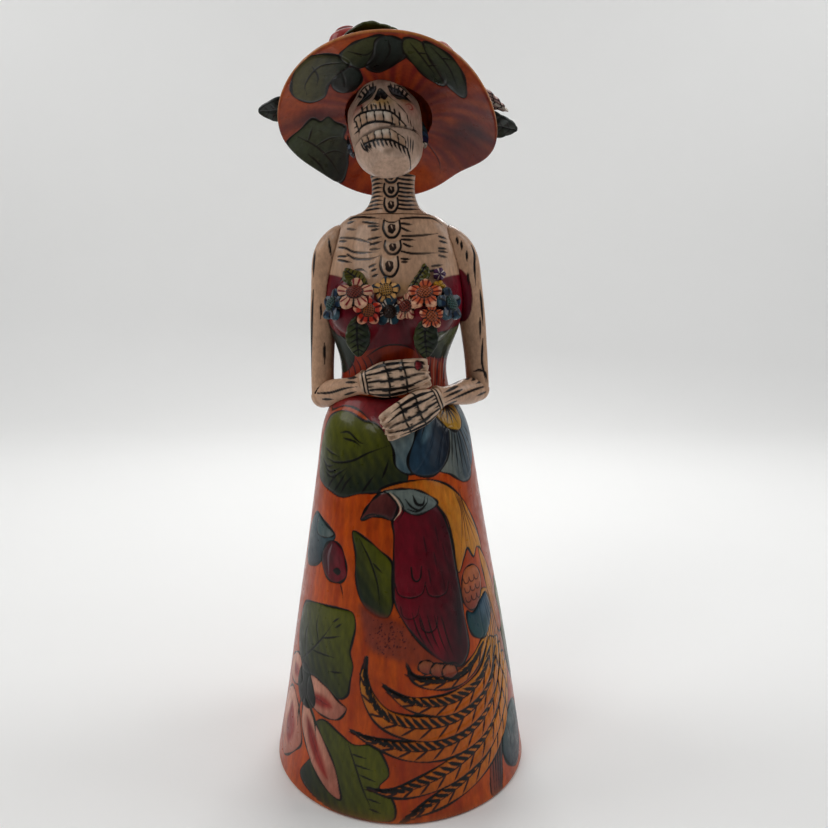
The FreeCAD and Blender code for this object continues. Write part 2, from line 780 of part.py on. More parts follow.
def make_hand(name, start, end):
    """Palm and four fingers pressed together."""
    frame = along(start, end)
    knuckle = 17.0
    longest = (end - start).Length - knuckle - size("finger_radius")
    pieces = [roll(f"{name}_palm", PALM_GIRTH, start, end)]
    for number, offset in enumerate((-1.5, -0.5, 0.5, 1.5), 1):
        length = longest - 1.6 * abs(offset)
        base = frame.multiply(
            Placement(Vector(offset * size("finger_spread"), 0, knuckle), Rotation())
        )
        shaft = cylinder(f"{name}_finger{number}", "Sizes.finger_radius * 1 mm", f"{length} mm", base)
        tip = bind(
            doc.addObject("Part::Sphere", f"{name}_tip{number}"),
            Radius="Sizes.finger_radius * 1 mm",
        )
        tip.Placement = base.multiply(Placement(Vector(0, 0, length), Rotation()))
        pieces += [shaft, tip]
    return fuse(f"{name}_whole", *pieces)


def make_wire(name, side, points):
    """A bent wire: from the shoulder down the upper arm, round the elbow and into the palm."""
    _, _, _, x, y = SECTIONS[f"upper_arm_{side}"][3]
    shoulder = Vector(x, y, SECTIONS[f"upper_arm_{side}"][3][0])
    elbow, wrist, tips = (points[k] for k in ("elbow", "wrist", "fingertips"))
    palm = wrist + (tips - wrist).normalize() * 10.0
    bends = [shoulder, elbow, wrist, palm]
    pieces = []
    for number, (start, end) in enumerate(zip(bends, bends[1:]), 1):
        length = f"{(end - start).Length} mm"
        upright = Vector(1, 0, 0)
        place = along(start, end, upright)
        pieces.append(cylinder(f"{name}_run{number}", "Sizes.wire_radius * 1 mm", length, place))
    for number, bend in enumerate(bends[1:-1], 1):
        knee = bind(
            doc.addObject("Part::Sphere", f"{name}_bend{number}"),
            Radius="1.3 * Sizes.wire_radius * 1 mm",
        )
        knee.Placement = Placement(bend, Rotation())
        pieces.append(knee)
    return fuse(name, *pieces)


def make_arm(side, fixed):
    """Upper arm, forearm, hand and the wire through them."""
    points = {k: Vector(*v) for k, v in ARMS[side].items()}
    upper = sections_loft(f"{side}_upper_roll", f"upper_arm_{side}")
    elbow = doc.addObject("Part::Sphere", f"{side}_elbow_ball")
    elbow.Radius = ELBOW_RADIUS
    elbow.Placement = Placement(points["elbow"], Rotation())
    reach = (points["wrist"] - points["elbow"]).Length
    girth = [(-4.0, 6.2, 6.2), (4.0, 8.6, 7.8), (reach / 2, 7.4, 6.8), (reach, 8.4, 5.6)]
    stretch = roll(f"{side}_forearm_roll", girth, points["elbow"], points["wrist"])
    lower = fuse(f"{side}_forearm_whole", stretch, elbow)
    fingers = make_hand(f"{side}_hand", points["wrist"], points["fingertips"])
    wire = make_wire(f"arm_wire_{side}", side, points)
    upper_arm = trimmed(f"upper_arm_{side}", upper, fixed + [wire])
    forearm = trimmed(f"forearm_{side}", lower, [upper] + fixed + [wire])
    hand = trimmed(f"hand_{side}", fingers, [lower] + fixed + [wire])
    return [upper_arm, forearm, hand, wire]


# ---------------------------------------------------------------- bouquet on the bodice
def front_of(shape, x, z):
    """The y of a shape's front surface at x and z."""
    ray = Part.makeLine(Vector(x, -90, z), Vector(x, 0, z))
    hits = [v.Y for v in shape.section(ray).Vertexes]
    return min(hits) if hits else 0.0


def seat_on(shape, x, z, sink=0.5, tip=(0.0, 1.0)):
    """A place on a front surface: local +Z out of it, local +X towards tip (x, z)."""
    step = 3.0
    across = (front_of(shape, x + step, z) - front_of(shape, x - step, z)) / (2 * step)
    upwards = (front_of(shape, x, z + step) - front_of(shape, x, z - step)) / (2 * step)
    steepest = 1.4
    across = max(-steepest, min(steepest, across))
    facing = Vector(across, -1, upwards).normalize()
    base = Vector(x, front_of(shape, x, z), z) - facing * sink
    return Placement(base, Rotation(Vector(tip[0], 0, tip[1]), Vector(), facing, "ZXY"))


def make_bouquet(bodice_outer, arms):
    """Moulded flowers, leaves and buds glued along the neckline."""
    doc.recompute()
    surface = bodice_outer.Shape
    fixed = [bodice_outer] + arms
    made = []
    for name, radius, x, z in FLOWERS:
        whole = flat_flower(name, radius, seat_on(surface, x, z))
        made.append(trimmed(name, whole, fixed + made))
    for name, x, z in BUDS:
        whole = bind(doc.addObject("Part::Sphere", f"{name}_whole"), Radius="Sizes.bud_radius * 1 mm")
        whole.Placement = Placement(Vector(x, front_of(surface, x, z) - 2.0, z), Rotation())
        made.append(trimmed(name, whole, fixed + made))
    for name, kind, x, z, tip in BUST_LEAVES:
        place = seat_on(surface, x, z, tip=tip)
        whole = leaf_body(
            f"{name}_whole", f"{kind}_leaf_length", f"{kind}_leaf_width", "leaf_thickness", place
        )
        made.append(trimmed(name, whole, fixed + made))
    return made


# ---------------------------------------------------------------- checks and export
def checked(thing):
    """Stops the build if a piece is missing, broken or not made of closed solids."""
    shape = thing.Shape
    if shape.isNull() or not shape.isValid() or not shape.Solids:
        raise RuntimeError(f"{thing.Name}: the shape is null, invalid or holds no solid")
    if shape.Volume <= 0:
        raise RuntimeError(f"{thing.Name}: the volume is {shape.Volume}")
    return shape


def main():
    fill_sheet()
    board = make_base_board()
    post, screw = make_post_and_screw()
    skirt_outer, skirt = make_skirt()
    disc = make_waist_disc()
    bore = post_bore("body_bore")
    bodice_outer, bodice = make_bodice(bore)
    neck_tube, neck = make_neck(bore)
    skull, jaw, skull_whole = make_head(neck_tube, bore)
    brim = make_brim(skull_whole)
    crown, band = make_crown_and_band(skull_whole)
    pieces = [board, post, screw, skirt, disc, bodice, neck, skull, jaw, brim, crown, band]
    pieces += make_hat_trim([brim, crown, band])
    pieces += make_earrings([skull, jaw, neck])
    arms = make_arm("right", [bodice_outer, skirt_outer])
    arms += make_arm("left", [bodice_outer, skirt_outer] + arms)
    pieces += arms + make_bouquet(bodice_outer, arms)
    doc.recompute()
    broken = [o.Name for o in doc.Objects if {"Invalid", "Error"} & set(o.State)]
    if broken:
        raise RuntimeError(f"these objects did not compute: {broken}")
    os.makedirs("parts", exist_ok=True)
    for thing in pieces:
        thing.Label = thing.Name
        shape = checked(thing)
        shape.exportStep(f"parts/{thing.Label}.step")
        print(f"{thing.Label:24s} solids {len(shape.Solids)}  volume {shape.Volume:10.0f} mm3")


main()
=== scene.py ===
import json
import math

import bpy
import numpy as np
from mathutils import Euler, Matrix, Vector
from mathutils.bvhtree import BVHTree

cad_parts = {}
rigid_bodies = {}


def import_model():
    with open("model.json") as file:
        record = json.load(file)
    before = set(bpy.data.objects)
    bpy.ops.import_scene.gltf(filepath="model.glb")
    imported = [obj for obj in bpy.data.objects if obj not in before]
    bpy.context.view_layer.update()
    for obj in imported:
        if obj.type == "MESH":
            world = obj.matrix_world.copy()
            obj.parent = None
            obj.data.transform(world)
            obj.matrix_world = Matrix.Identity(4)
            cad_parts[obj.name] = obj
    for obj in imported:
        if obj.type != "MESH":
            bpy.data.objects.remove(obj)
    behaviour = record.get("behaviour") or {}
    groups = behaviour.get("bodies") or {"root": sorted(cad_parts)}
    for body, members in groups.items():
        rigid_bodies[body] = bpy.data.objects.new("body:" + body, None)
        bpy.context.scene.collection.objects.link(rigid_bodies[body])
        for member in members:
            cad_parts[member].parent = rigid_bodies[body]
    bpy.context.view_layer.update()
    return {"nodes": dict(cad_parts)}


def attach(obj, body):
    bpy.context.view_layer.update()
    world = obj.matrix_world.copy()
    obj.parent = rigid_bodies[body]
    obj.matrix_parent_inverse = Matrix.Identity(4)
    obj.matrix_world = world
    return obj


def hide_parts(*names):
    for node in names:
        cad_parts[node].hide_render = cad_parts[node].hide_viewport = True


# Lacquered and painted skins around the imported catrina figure.
# Each skin takes its shape from the CAD nodes it stands for and carries its painting as a colour on
# its vertices. The motifs are outlines in charts: millimetres, with the figure facing -Y.

for thing in list(bpy.data.objects):
    bpy.data.objects.remove(thing, do_unlink=True)
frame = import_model()
NODES = frame["nodes"]
MM = 0.001


# ------------------------------------------------------------------ colours
def shade(red, green, blue):
    """A screen colour from 0 to 255 as linear light."""
    return np.array([((c / 255 + 0.055) / 1.055) ** 2.4 if c > 10 else c / 3294 for c in (red, green, blue)])


ORANGE = shade(180, 72, 4)
DEEP_ORANGE = shade(150, 46, 4)
RED_ORANGE = shade(128, 34, 12)
# Pink for the skirt's sides: a painted reflection on the lacquer, seen at glancing angles.
PAINTED_SIDE_SHEEN = shade(150, 70, 48)
INK = shade(8, 5, 5)
OLIVE = shade(62, 64, 14)
BRIGHT_OLIVE = shade(80, 82, 8)
DARK_GREEN = shade(26, 34, 24)
SLATE_GREEN = shade(34, 42, 38)
MAROON = shade(106, 8, 26)
DARK_MAROON = shade(52, 8, 18)
PALE_BLUE = shade(104, 120, 120)
NIGHT_BLUE = shade(14, 26, 42)
TEAL = shade(20, 62, 66)
YELLOW = shade(172, 126, 22)
OCHRE = shade(190, 124, 36)
AMBER = shade(176, 84, 10)
BEAK = shade(92, 40, 36)
SLATE = shade(88, 98, 96)
LILY_PALE = shade(196, 138, 116)
LILY_RED = shade(148, 40, 30)
RUST = shade(122, 50, 34)
BONE = shade(184, 146, 118)
PALE_BONE = shade(208, 176, 150)
FACE_BONE = shade(198, 168, 148)
GREY_BONE = shade(126, 104, 88)
WHITE = shade(226, 212, 196)
BRIM_RED = shade(100, 26, 22)
# Painted shade for the brim's underside beside the head.
BRIM_SHADE = shade(58, 14, 22)
BRIM_ORANGE = shade(158, 66, 18)


# ------------------------------------------------------------------ lines and smooth curves
def between(a, b, c, d, t):
    """The curve from b to c at the share t, led by a before it and d after it."""
    straight = 2 * b + (c - a) * t
    return 0.5 * (straight + (2 * a - 5 * b + 4 * c - d) * t**2 + (3 * b - a - 3 * c + d) * t**3)


def smooth(points, closed=False, step=1.0):
    """A smooth curve through the points, sampled about every step."""
    p = np.asarray(points, float)
    count = len(p)
    if closed:
        line = np.vstack([p[-1:], p, p[:2]])
        spans = count
    else:
        line = np.vstack([2 * p[:1] - p[1:2], p, 2 * p[-1:] - p[-2:-1]])
        spans = count - 1
    out = []
    for i in range(spans):
        a, b, c, d = line[i : i + 4]
        steps = max(2, int(np.linalg.norm(c - b) / step) + 1)
        t = np.linspace(0, 1, steps, endpoint=False)[:, None]
        out.append(between(a, b, c, d, t))
    if not closed:
        out.append(p[-1:])
    return np.vstack(out)


def from_curve(p, curve, closed):
    """Distance of each point from the curve, and how far along it the nearest place is, 0 to 1."""
    ends = np.vstack([curve, curve[:1]]) if closed else curve
    lengths = np.linalg.norm(np.diff(ends, axis=0), axis=1)
    total = max(lengths.sum(), 1e-9)
    best = np.full(len(p), 1e9)
    place = np.zeros(len(p))
    run = 0.0
    for a, b, length in zip(ends[:-1], ends[1:], lengths):
        if length > 1e-9:
            way = (b - a) / length
            t = np.clip((p - a) @ way, 0, length)
            gap = np.linalg.norm(p - a - t[:, None] * way, axis=1)
            nearer = gap < best
            best[nearer] = gap[nearer]
            place[nearer] = (run + t[nearer]) / total
        run += length
    return best, place


def inside(p, curve):
    """Whether each point of a plane chart lies inside the closed curve."""
    hit = np.zeros(len(p), bool)
    for a, b in zip(curve, np.roll(curve, -1, axis=0)):
        if a[1] != b[1]:
            crosses = (a[1] > p[:, 1]) != (b[1] > p[:, 1])
            hit ^= crosses & (p[:, 0] < (b[0] - a[0]) * (p[:, 1] - a[1]) / (b[1] - a[1]) + a[0])
    return hit


def ease(x):
    """A soft step: 0 below 0, 1 above 1."""
    x = np.clip(x, 0, 1)
    return x * x * (3 - 2 * x)


# ------------------------------------------------------------------ painting
class Chart:
    """A flat map of a skin: a place for each vertex, and which vertices it covers."""

    def __init__(self, skin, places, covers=None):
        self.skin = skin
        self.p = np.asarray(places, float)
        self.covers = np.ones(len(self.p), bool) if covers is None else covers

    def near(self, curve, margin):
        """The vertices of the chart that may lie within a margin of a curve."""
        low, high = curve.min(0) - margin, curve.max(0) + margin
        return np.nonzero(self.covers & ((self.p > low) & (self.p < high)).all(1))[0]

    def area(self, points, fill, to=None, way=(0, -1), ink=0.6, rise=0.12, soft=0.35, rim=0.25, line=INK):
        """Fills a smooth closed outline. The colour runs from fill to to along way, inside an ink line."""
        curve = smooth(points, True, 1.5)
        at = self.near(curve, max(ink, soft) + 1)
        if not len(at):
            return self
        p = self.p[at]
        gap, place = from_curve(p, curve, True)
        signed = np.where(inside(p, curve), gap, -gap)
        cover = ease(0.5 + signed / (2 * soft))[:, None]
        tone = np.tile(np.asarray(fill, float), (len(at), 1))
        if to is not None:
            reach = p @ np.asarray(way, float)
            span = curve @ np.asarray(way, float)
            t = (reach - span.min()) / max(span.max() - span.min(), 1e-6)
            t = t + 0.10 * np.sin(0.9 * p[:, 0] + 0.4 * p[:, 1]) * np.sin(0.23 * p[:, 1])
            t = ease(t)[:, None]
            tone = tone * (1 - t) + np.asarray(to) * t
        tone = tone * (1 - rim * np.exp(-np.clip(signed, 0, None) / 1.6))[:, None]
        skin = self.skin
        skin.colour[at] = skin.colour[at] * (1 - cover) + tone * cover
        skin.relief[at] += rise * cover[:, 0] * (1 - np.exp(-np.clip(signed, 0, None) / 1.2))
        if ink:
            self.ink(at, gap, place, ink * (0.8 + 0.35 * np.sin(place * 37 + len(points))), line)
        return self

    def ink(self, at, gap, place, half, colour):
        """Lays a line of half width half around a curve, slightly cut in, with a soft edge."""
        cover = ease(0.5 + (half - gap) / 0.42)
        skin = self.skin
        skin.colour[at] = skin.colour[at] * (1 - cover[:, None]) + np.asarray(colour) * cover[:, None]
        skin.relief[at] -= 0.10 * cover

    def stroke(self, points, wide=0.6, start=0.35, end=0.15, colour=INK, closed=False):
        """A brush stroke with half width wide in its middle that tapers to its ends."""
        curve = smooth(points, closed, 1.5)
        at = self.near(curve, wide + 1)
        if len(at):
            gap, place = from_curve(self.p[at], curve, closed)
            press = 1.0
            if not closed:
                rise_in = start + (1 - start) * ease(place / 0.25)
                press = np.minimum(rise_in, end + (1 - end) * ease((1 - place) / 0.45))
            self.ink(at, gap, place, wide * press, colour)
        return self

    def wash(self, middle, radius, colour, strength=0.7):
        """A soft round cloud of colour."""
        gap = np.linalg.norm((self.p - np.asarray(middle, float)) / np.asarray(radius, float), axis=1)
        at = np.nonzero(self.covers & (gap < 2.2))[0]
        cover = (strength * np.exp(-1.6 * gap[at] ** 2))[:, None]
        self.skin.colour[at] = self.skin.colour[at] * (1 - cover) + np.asarray(colour) * cover
        return self

    def dots(self, middle, radius, count, size, colour, seed):
        """A spray of small round specks."""
        draw = np.random.default_rng(seed)
        for _ in range(count):
            spot = np.asarray(middle, float) + draw.normal(0, 0.45, 2) * np.asarray(radius, float)
            self.stroke([spot, spot + (0.1, 0.1)], size * draw.uniform(0.5, 1.2), 1, 1, colour)
        return self


def outward(verts, faces):
    """The faces, turned round if they point inwards."""
    if isinstance(faces, list):
        some = faces[:: max(1, len(faces) // 40000)]
        corners = [(face[0], face[k], face[k + 1]) for face in some for k in (1, 2) if k + 1 < len(face)]
    else:
        corners = np.vstack([faces[:, :3], faces[:, [0, 2, 3]]])
    a, b, c = (verts[np.array(corners)[:, k]] for k in range(3))
    if np.einsum("ij,ij->i", a, np.cross(b, c)).sum() > 0:
        return faces
    if isinstance(faces, list):
        return [face[::-1] for face in faces]
    return np.ascontiguousarray(faces[:, ::-1])


class Skin:
    """The surface of one piece: vertices in millimetres, faces, a colour and a relief."""

    def __init__(self, verts, faces, ground):
        self.verts = np.array(verts, float)
        self.faces = outward(self.verts, faces)
        self.colour = np.tile(np.asarray(ground, float), (len(self.verts), 1))
        self.relief = np.zeros(len(self.verts))
        self.normals = self.find_normals()

    def find_normals(self):
        """The direction that each vertex faces."""
        mesh = mesh_of("scratch", self.verts, self.faces)
        out = np.empty(len(self.verts) * 3)
        mesh.vertices.foreach_get("normal", out)
        bpy.data.meshes.remove(mesh)
        return out.reshape(-1, 3)

    def blend_ground(self, colour, amount):
        """Mixes a colour in, by an amount for each vertex."""
        amount = np.clip(amount, 0, 1)[:, None]
        self.colour = self.colour * (1 - amount) + np.asarray(colour) * amount

    def push(self, amount):
        """Moves each vertex out along its normal."""
        self.verts += self.normals * np.asarray(amount)[:, None]

    def flat(self, across, up, facing=None, limit=0.05):
        """A plane chart along two directions. facing keeps only the side that looks that way."""
        places = np.stack([self.verts @ np.asarray(across, float), self.verts @ np.asarray(up, float)], 1)
        covers = None if facing is None else self.normals @ np.asarray(facing, float) > limit
        return Chart(self, places, covers)

    def finish(self, name, slot, nodes, material):
        """Makes the piece: mesh, paint, material, and what it rides, shows and replaces."""
        self.push(self.relief)
        mesh = mesh_of(name, self.verts, self.faces)
        layer = mesh.color_attributes.new("paint", "FLOAT_COLOR", "POINT")
        full = np.ones((len(self.verts), 4))
        full[:, :3] = np.clip(self.colour, 0, 1)
        layer.data.foreach_set("color", full.ravel())
        mesh.polygons.foreach_set("use_smooth", np.ones(len(mesh.polygons), bool))
        mesh.materials.append(material)
        piece = bpy.data.objects.new(name, mesh)
        bpy.context.scene.collection.objects.link(piece)
        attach(piece, "root")
        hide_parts(*nodes)
        return piece


def mesh_of(name, verts, faces):
    """A mesh from vertices in millimetres and an array of quads, or a list of polygons."""
    mesh = bpy.data.meshes.new(name)
    if isinstance(faces, np.ndarray):
        mesh.vertices.add(len(verts))
        mesh.vertices.foreach_set("co", (np.asarray(verts) * MM).ravel())
        mesh.loops.add(faces.size)
        mesh.polygons.add(len(faces))
        mesh.polygons.foreach_set("loop_start", np.arange(0, faces.size, faces.shape[1]))
        mesh.loops.foreach_set("vertex_index", faces.ravel())
        mesh.update(calc_edges=True)
    else:
        mesh.from_pydata([tuple(v) for v in np.asarray(verts) * MM], [], faces)
        mesh.update()
    return mesh


def grid_faces(rows, columns, closed_rows=False):
    """Quads of a tube of rings, joined end to end when closed_rows is set."""
    row = np.arange(rows if closed_rows else rows - 1)[:, None]
    column = np.arange(columns)[None, :]
    beyond = (row + 1) % rows
    beside = (column + 1) % columns
    quads = np.stack(np.broadcast_arrays(
        row * columns + column, row * columns + beside, beyond * columns + beside, beyond * columns + column
    ), -1)
    return quads.reshape(-1, 4).astype(np.int32)


def refined(grid, times, axis, closed):
    """A grid of numbers made times finer along an axis by a smooth curve through its values."""
    g = np.moveaxis(grid, axis, 0)
    count = len(g)
    index = np.arange(count if closed else count - 1)

    def pick(shift):
        """Rows of the grid, shifted along: round the ring or held at the ends."""
        where = index + shift
        return g[where % count] if closed else g[np.clip(where, 0, count - 1)]

    a, b, c, d = pick(-1), pick(0), pick(1), pick(2)
    parts = []
    for t in np.arange(times) / times:
        parts.append(between(a, b, c, d, t))
    out = np.stack(parts, 1).reshape(-1, *g.shape[1:])
    if not closed:
        out = np.concatenate([out, g[-1:]])
    return np.moveaxis(out, 0, axis)


def tree_of(*names):
    """The named nodes' meshes, ready for ray casts."""
    verts, faces = [], []
    for name in names:
        mesh = NODES[name].data
        start = len(verts)
        verts += [v.co.copy() for v in mesh.vertices]
        faces += [[i + start for i in poly.vertices] for poly in mesh.polygons]
    return BVHTree.FromPolygons(verts, faces)


def radii(name, axis, heights, columns):
    """How far a node's outside lies from an upright axis, for each height and each turn."""
    tree = tree_of(name)
    out = np.zeros((len(heights), columns))
    for i, z in enumerate(heights):
        for j in range(columns):
            turn = 2 * math.pi * j / columns
            way = Vector((math.sin(turn), -math.cos(turn), 0))
            middle = Vector((axis[0], axis[1], z)) * MM
            hit = tree.ray_cast(middle + way * 0.25, -way)[0]
            out[i, j] = (hit - middle).length / MM if hit else np.nan
    for i in range(len(heights)):
        row = out[i]
        gone = np.isnan(row)
        if gone.any():
            row[gone] = np.interp(np.nonzero(gone)[0], np.nonzero(~gone)[0], row[~gone])
    return out


def remeshed(name, voxel, passes=6, factor=0.5):
    """The vertices and quads of an even mesh over a CAD node, a little smoothed."""
    scratch = bpy.data.objects.new("scratch", NODES[name].data.copy())
    bpy.context.scene.collection.objects.link(scratch)
    even = scratch.modifiers.new("even", "REMESH")
    even.mode = "VOXEL"
    even.voxel_size = voxel * MM
    if passes:
        calm = scratch.modifiers.new("calm", "SMOOTH")
        calm.factor = factor
        calm.iterations = passes
    bpy.context.view_layer.update()
    done = bpy.data.meshes.new_from_object(scratch.evaluated_get(bpy.context.evaluated_depsgraph_get()))
    verts = np.empty(len(done.vertices) * 3)
    done.vertices.foreach_get("co", verts)
    corners = np.empty(len(done.loops), np.int32)
    done.loops.foreach_get("vertex_index", corners)
    faces = corners.reshape(-1, 4)
    bpy.data.objects.remove(scratch, do_unlink=True)
    bpy.data.meshes.remove(done)
    return verts.reshape(-1, 3) / MM, faces


# ------------------------------------------------------------------ materials
def new_material(name):
    """A material with one shader, its node tree and the shader."""
    material = bpy.data.materials.new(name)
    material.use_nodes = True
    tree = material.node_tree
    tree.nodes.clear()
    out = tree.nodes.new("ShaderNodeOutputMaterial")
    shader = tree.nodes.new("ShaderNodeBsdfPrincipled")
    tree.links.new(shader.outputs[0], out.inputs[0])
    return material, tree, shader


def noise(tree, scale, detail=3.0, stretch=(1, 1, 1), rough=0.5):
    """Noise in object space, as many bumps to a metre as scale, stretched along the axes."""
    where = tree.nodes.new("ShaderNodeTexCoord")
    mapping = tree.nodes.new("ShaderNodeMapping")
    mapping.inputs["Scale"].default_value = stretch
    tree.links.new(where.outputs["Object"], mapping.inputs[0])
    texture = tree.nodes.new("ShaderNodeTexNoise")
    texture.inputs["Scale"].default_value = scale
    texture.inputs["Detail"].default_value = detail
    texture.inputs["Roughness"].default_value = rough
    tree.links.new(mapping.outputs[0], texture.inputs["Vector"])
    return texture.outputs["Fac"]


def spread(tree, value, low, high, from_low=0.3, from_high=0.7):
    """A value between from_low and from_high, spread out to run from low to high."""
    node = tree.nodes.new("ShaderNodeMapRange")
    for socket, number in zip(("From Min", "From Max", "To Min", "To Max"),
                              (from_low, from_high, low, high)):
        node.inputs[socket].default_value = number
    tree.links.new(value, node.inputs["Value"])
    return node.outputs[0]


def bump(tree, shader, height, distance, strength=1.0, under=None):
    """Bumps of a height, laid over those of under."""
    node = tree.nodes.new("ShaderNodeBump")
    node.inputs["Strength"].default_value = strength
    node.inputs["Distance"].default_value = distance
    tree.links.new(height, node.inputs["Height"])
    if under:
        tree.links.new(under, node.inputs["Normal"])
    tree.links.new(node.outputs[0], shader.inputs["Normal"])
    return node.outputs[0]


def lacquer(name, roughness=0.34, coat=0.26, streaks=(1, 1, 0.25), speck=0.16):
    """Hand painted paper under a clear lacquer: brush streaks, mottling and slow waves in the gloss."""
    material, tree, shader = new_material(name)
    paint = tree.nodes.new("ShaderNodeAttribute")
    paint.attribute_name = "paint"
    brush = spread(tree, noise(tree, 420, 4, streaks, 0.6), 0.80, 1.22)
    cloud = spread(tree, noise(tree, 55, 3), 0.90, 1.12)
    both = tree.nodes.new("ShaderNodeMath")
    both.operation = "MULTIPLY"
    tree.links.new(brush, both.inputs[0])
    tree.links.new(cloud, both.inputs[1])
    tint = tree.nodes.new("ShaderNodeVectorMath")
    tint.operation = "SCALE"
    tree.links.new(paint.outputs["Color"], tint.inputs[0])
    tree.links.new(both.outputs[0], tint.inputs["Scale"])
    tree.links.new(tint.outputs[0], shader.inputs["Base Color"])
    tree.links.new(spread(tree, noise(tree, 160, 3), roughness - speck / 2, roughness + speck),
                   shader.inputs["Roughness"])
    shader.inputs["Specular IOR Level"].default_value = 0.12
    shader.inputs["Coat Weight"].default_value = coat
    shader.inputs["Coat Roughness"].default_value = 0.09
    shader.inputs["Coat IOR"].default_value = 1.45
    slow = bump(tree, shader, noise(tree, 70, 2), 0.0007, 0.55)
    fine = bump(tree, shader, noise(tree, 900, 3, streaks), 0.00008, 0.6, slow)
    tree.links.new(fine, shader.inputs["Coat Normal"])
    return material


def wood(name, light, dark, grain=(14, 14, 1), roughness=0.6):
    """Raw turned or sawn wood with long grain lines."""
    material, tree, shader = new_material(name)
    ramp = tree.nodes.new("ShaderNodeValToRGB")
    ramp.color_ramp.elements[0].position = 0.32
    ramp.color_ramp.elements[0].color = (*dark, 1)
    ramp.color_ramp.elements[1].position = 0.68
    ramp.color_ramp.elements[1].color = (*light, 1)
    lines = noise(tree, 40, 5, grain, 0.7)
    tree.links.new(lines, ramp.inputs[0])
    tree.links.new(ramp.outputs[0], shader.inputs["Base Color"])
    tree.links.new(spread(tree, lines, roughness - 0.1, roughness + 0.15), shader.inputs["Roughness"])
    bump(tree, shader, lines, 0.0002, 0.6)
    return material


def metal(name, colour, roughness, stretch=(1, 1, 12)):
    """Drawn steel with fine lines and a few dull spots."""
    material, tree, shader = new_material(name)
    ramp = tree.nodes.new("ShaderNodeValToRGB")
    ramp.color_ramp.elements[0].position = 0.35
    ramp.color_ramp.elements[0].color = (*(0.45 * np.asarray(colour)), 1)
    ramp.color_ramp.elements[1].position = 0.6
    ramp.color_ramp.elements[1].color = (*colour, 1)
    lines = noise(tree, 700, 4, stretch)
    tree.links.new(noise(tree, 300, 5), ramp.inputs[0])
    tree.links.new(ramp.outputs[0], shader.inputs["Base Color"])
    tree.links.new(spread(tree, lines, roughness - 0.08, roughness + 0.12), shader.inputs["Roughness"])
    shader.inputs["Metallic"].default_value = 1.0
    bump(tree, shader, lines, 0.00005, 0.5)
    return material


def card(name, colour):
    """Grey-brown millboard with fibres."""
    material, tree, shader = new_material(name)
    ramp = tree.nodes.new("ShaderNodeValToRGB")
    ramp.color_ramp.elements[0].color = (*(0.7 * np.asarray(colour)), 1)
    ramp.color_ramp.elements[1].color = (*colour, 1)
    fibres = noise(tree, 500, 6, (1, 3, 1), 0.75)
    tree.links.new(fibres, ramp.inputs[0])
    tree.links.new(ramp.outputs[0], shader.inputs["Base Color"])
    shader.inputs["Roughness"].default_value = 0.85
    bump(tree, shader, fibres, 0.0002, 0.7)
    return material


LACQUER = lacquer("lacquer_painted")
BONE_LACQUER = lacquer("lacquer_bone", roughness=0.38, coat=0.26, streaks=(1, 1, 0.6))


def dress_inside():
    """Materials for the inner pieces, which keep their CAD shapes."""
    looks = {
        "base_board": wood("board_wood", shade(176, 138, 92), shade(120, 84, 50), (3, 18, 6)),
        "centre_post": wood("post_wood", shade(206, 168, 112), shade(158, 112, 66)),
        "base_screw": metal("screw_steel", (0.62, 0.62, 0.64), 0.32),
        "waist_disc": card("disc_card", shade(170, 146, 112)),
    }
    wire = metal("wire_steel", (0.45, 0.44, 0.43), 0.42)
    for node in ("arm_wire_right", "arm_wire_left"):
        looks[node] = wire
    for node, material in looks.items():
        for place in NODES[node].material_slots:
            place.material = material


# ------------------------------------------------------------------ skirt
SKIRT_TOP = 264.0
HEM = 2.5


def build_skirt():
    """The bell of the skirt: outside, rounded hem and inner wall as one closed skin."""
    heights = np.linspace(6, SKIRT_TOP - 0.5, 53)
    coarse = radii("skirt_shell", (0, 0), heights, 72)
    coarse = refined(refined(coarse, 13, 1, True), 9, 0, False)
    fine = np.interp(np.linspace(0, 52, len(coarse)), np.arange(53), heights)
    slope = (coarse[9] - coarse[0]) / (fine[9] - fine[0])
    low = np.array([0.0, 0.25, 0.7, 1.3, 2.0, 2.8, 3.8, 4.8, 5.5])
    eat = HEM - np.sqrt(np.clip(HEM**2 - np.clip(HEM - low, 0, None) ** 2, 0, None))
    foot = coarse[0] + slope * (low[:, None] - 6.0) - eat[:, None]
    z = np.concatenate([low, fine, [SKIRT_TOP - 0.05]])
    r = np.vstack([foot, coarse, coarse[-1:]])
    outer = len(z)
    inner_z = np.concatenate([[SKIRT_TOP - 0.05], np.linspace(SKIRT_TOP - 2, 1.5, 24), [0.0]])
    columns = range(r.shape[1])
    inner_r = np.stack([np.array([np.interp(h, z, r[:, j]) for j in columns]) for h in inner_z]) - 3.8
    inner_r[-1] += 0.4
    z = np.concatenate([z, inner_z])
    r = np.vstack([r, inner_r])
    turn = np.linspace(0, 2 * np.pi, r.shape[1], endpoint=False)
    verts = np.stack([r * np.sin(turn), -r * np.cos(turn), np.broadcast_to(z[:, None], r.shape)], -1)
    skin = Skin(verts.reshape(-1, 3), grid_faces(len(z), r.shape[1], True), ORANGE)
    girth = np.interp(np.linspace(0, SKIRT_TOP, 60), z[:outer], r[:outer].mean(1))
    angle = np.degrees((np.broadcast_to(turn, r.shape).ravel() + np.pi) % (2 * np.pi) - np.pi)
    is_outer = np.zeros(r.shape, bool)
    is_outer[:outer] = True
    return skin, angle, is_outer.ravel(), girth


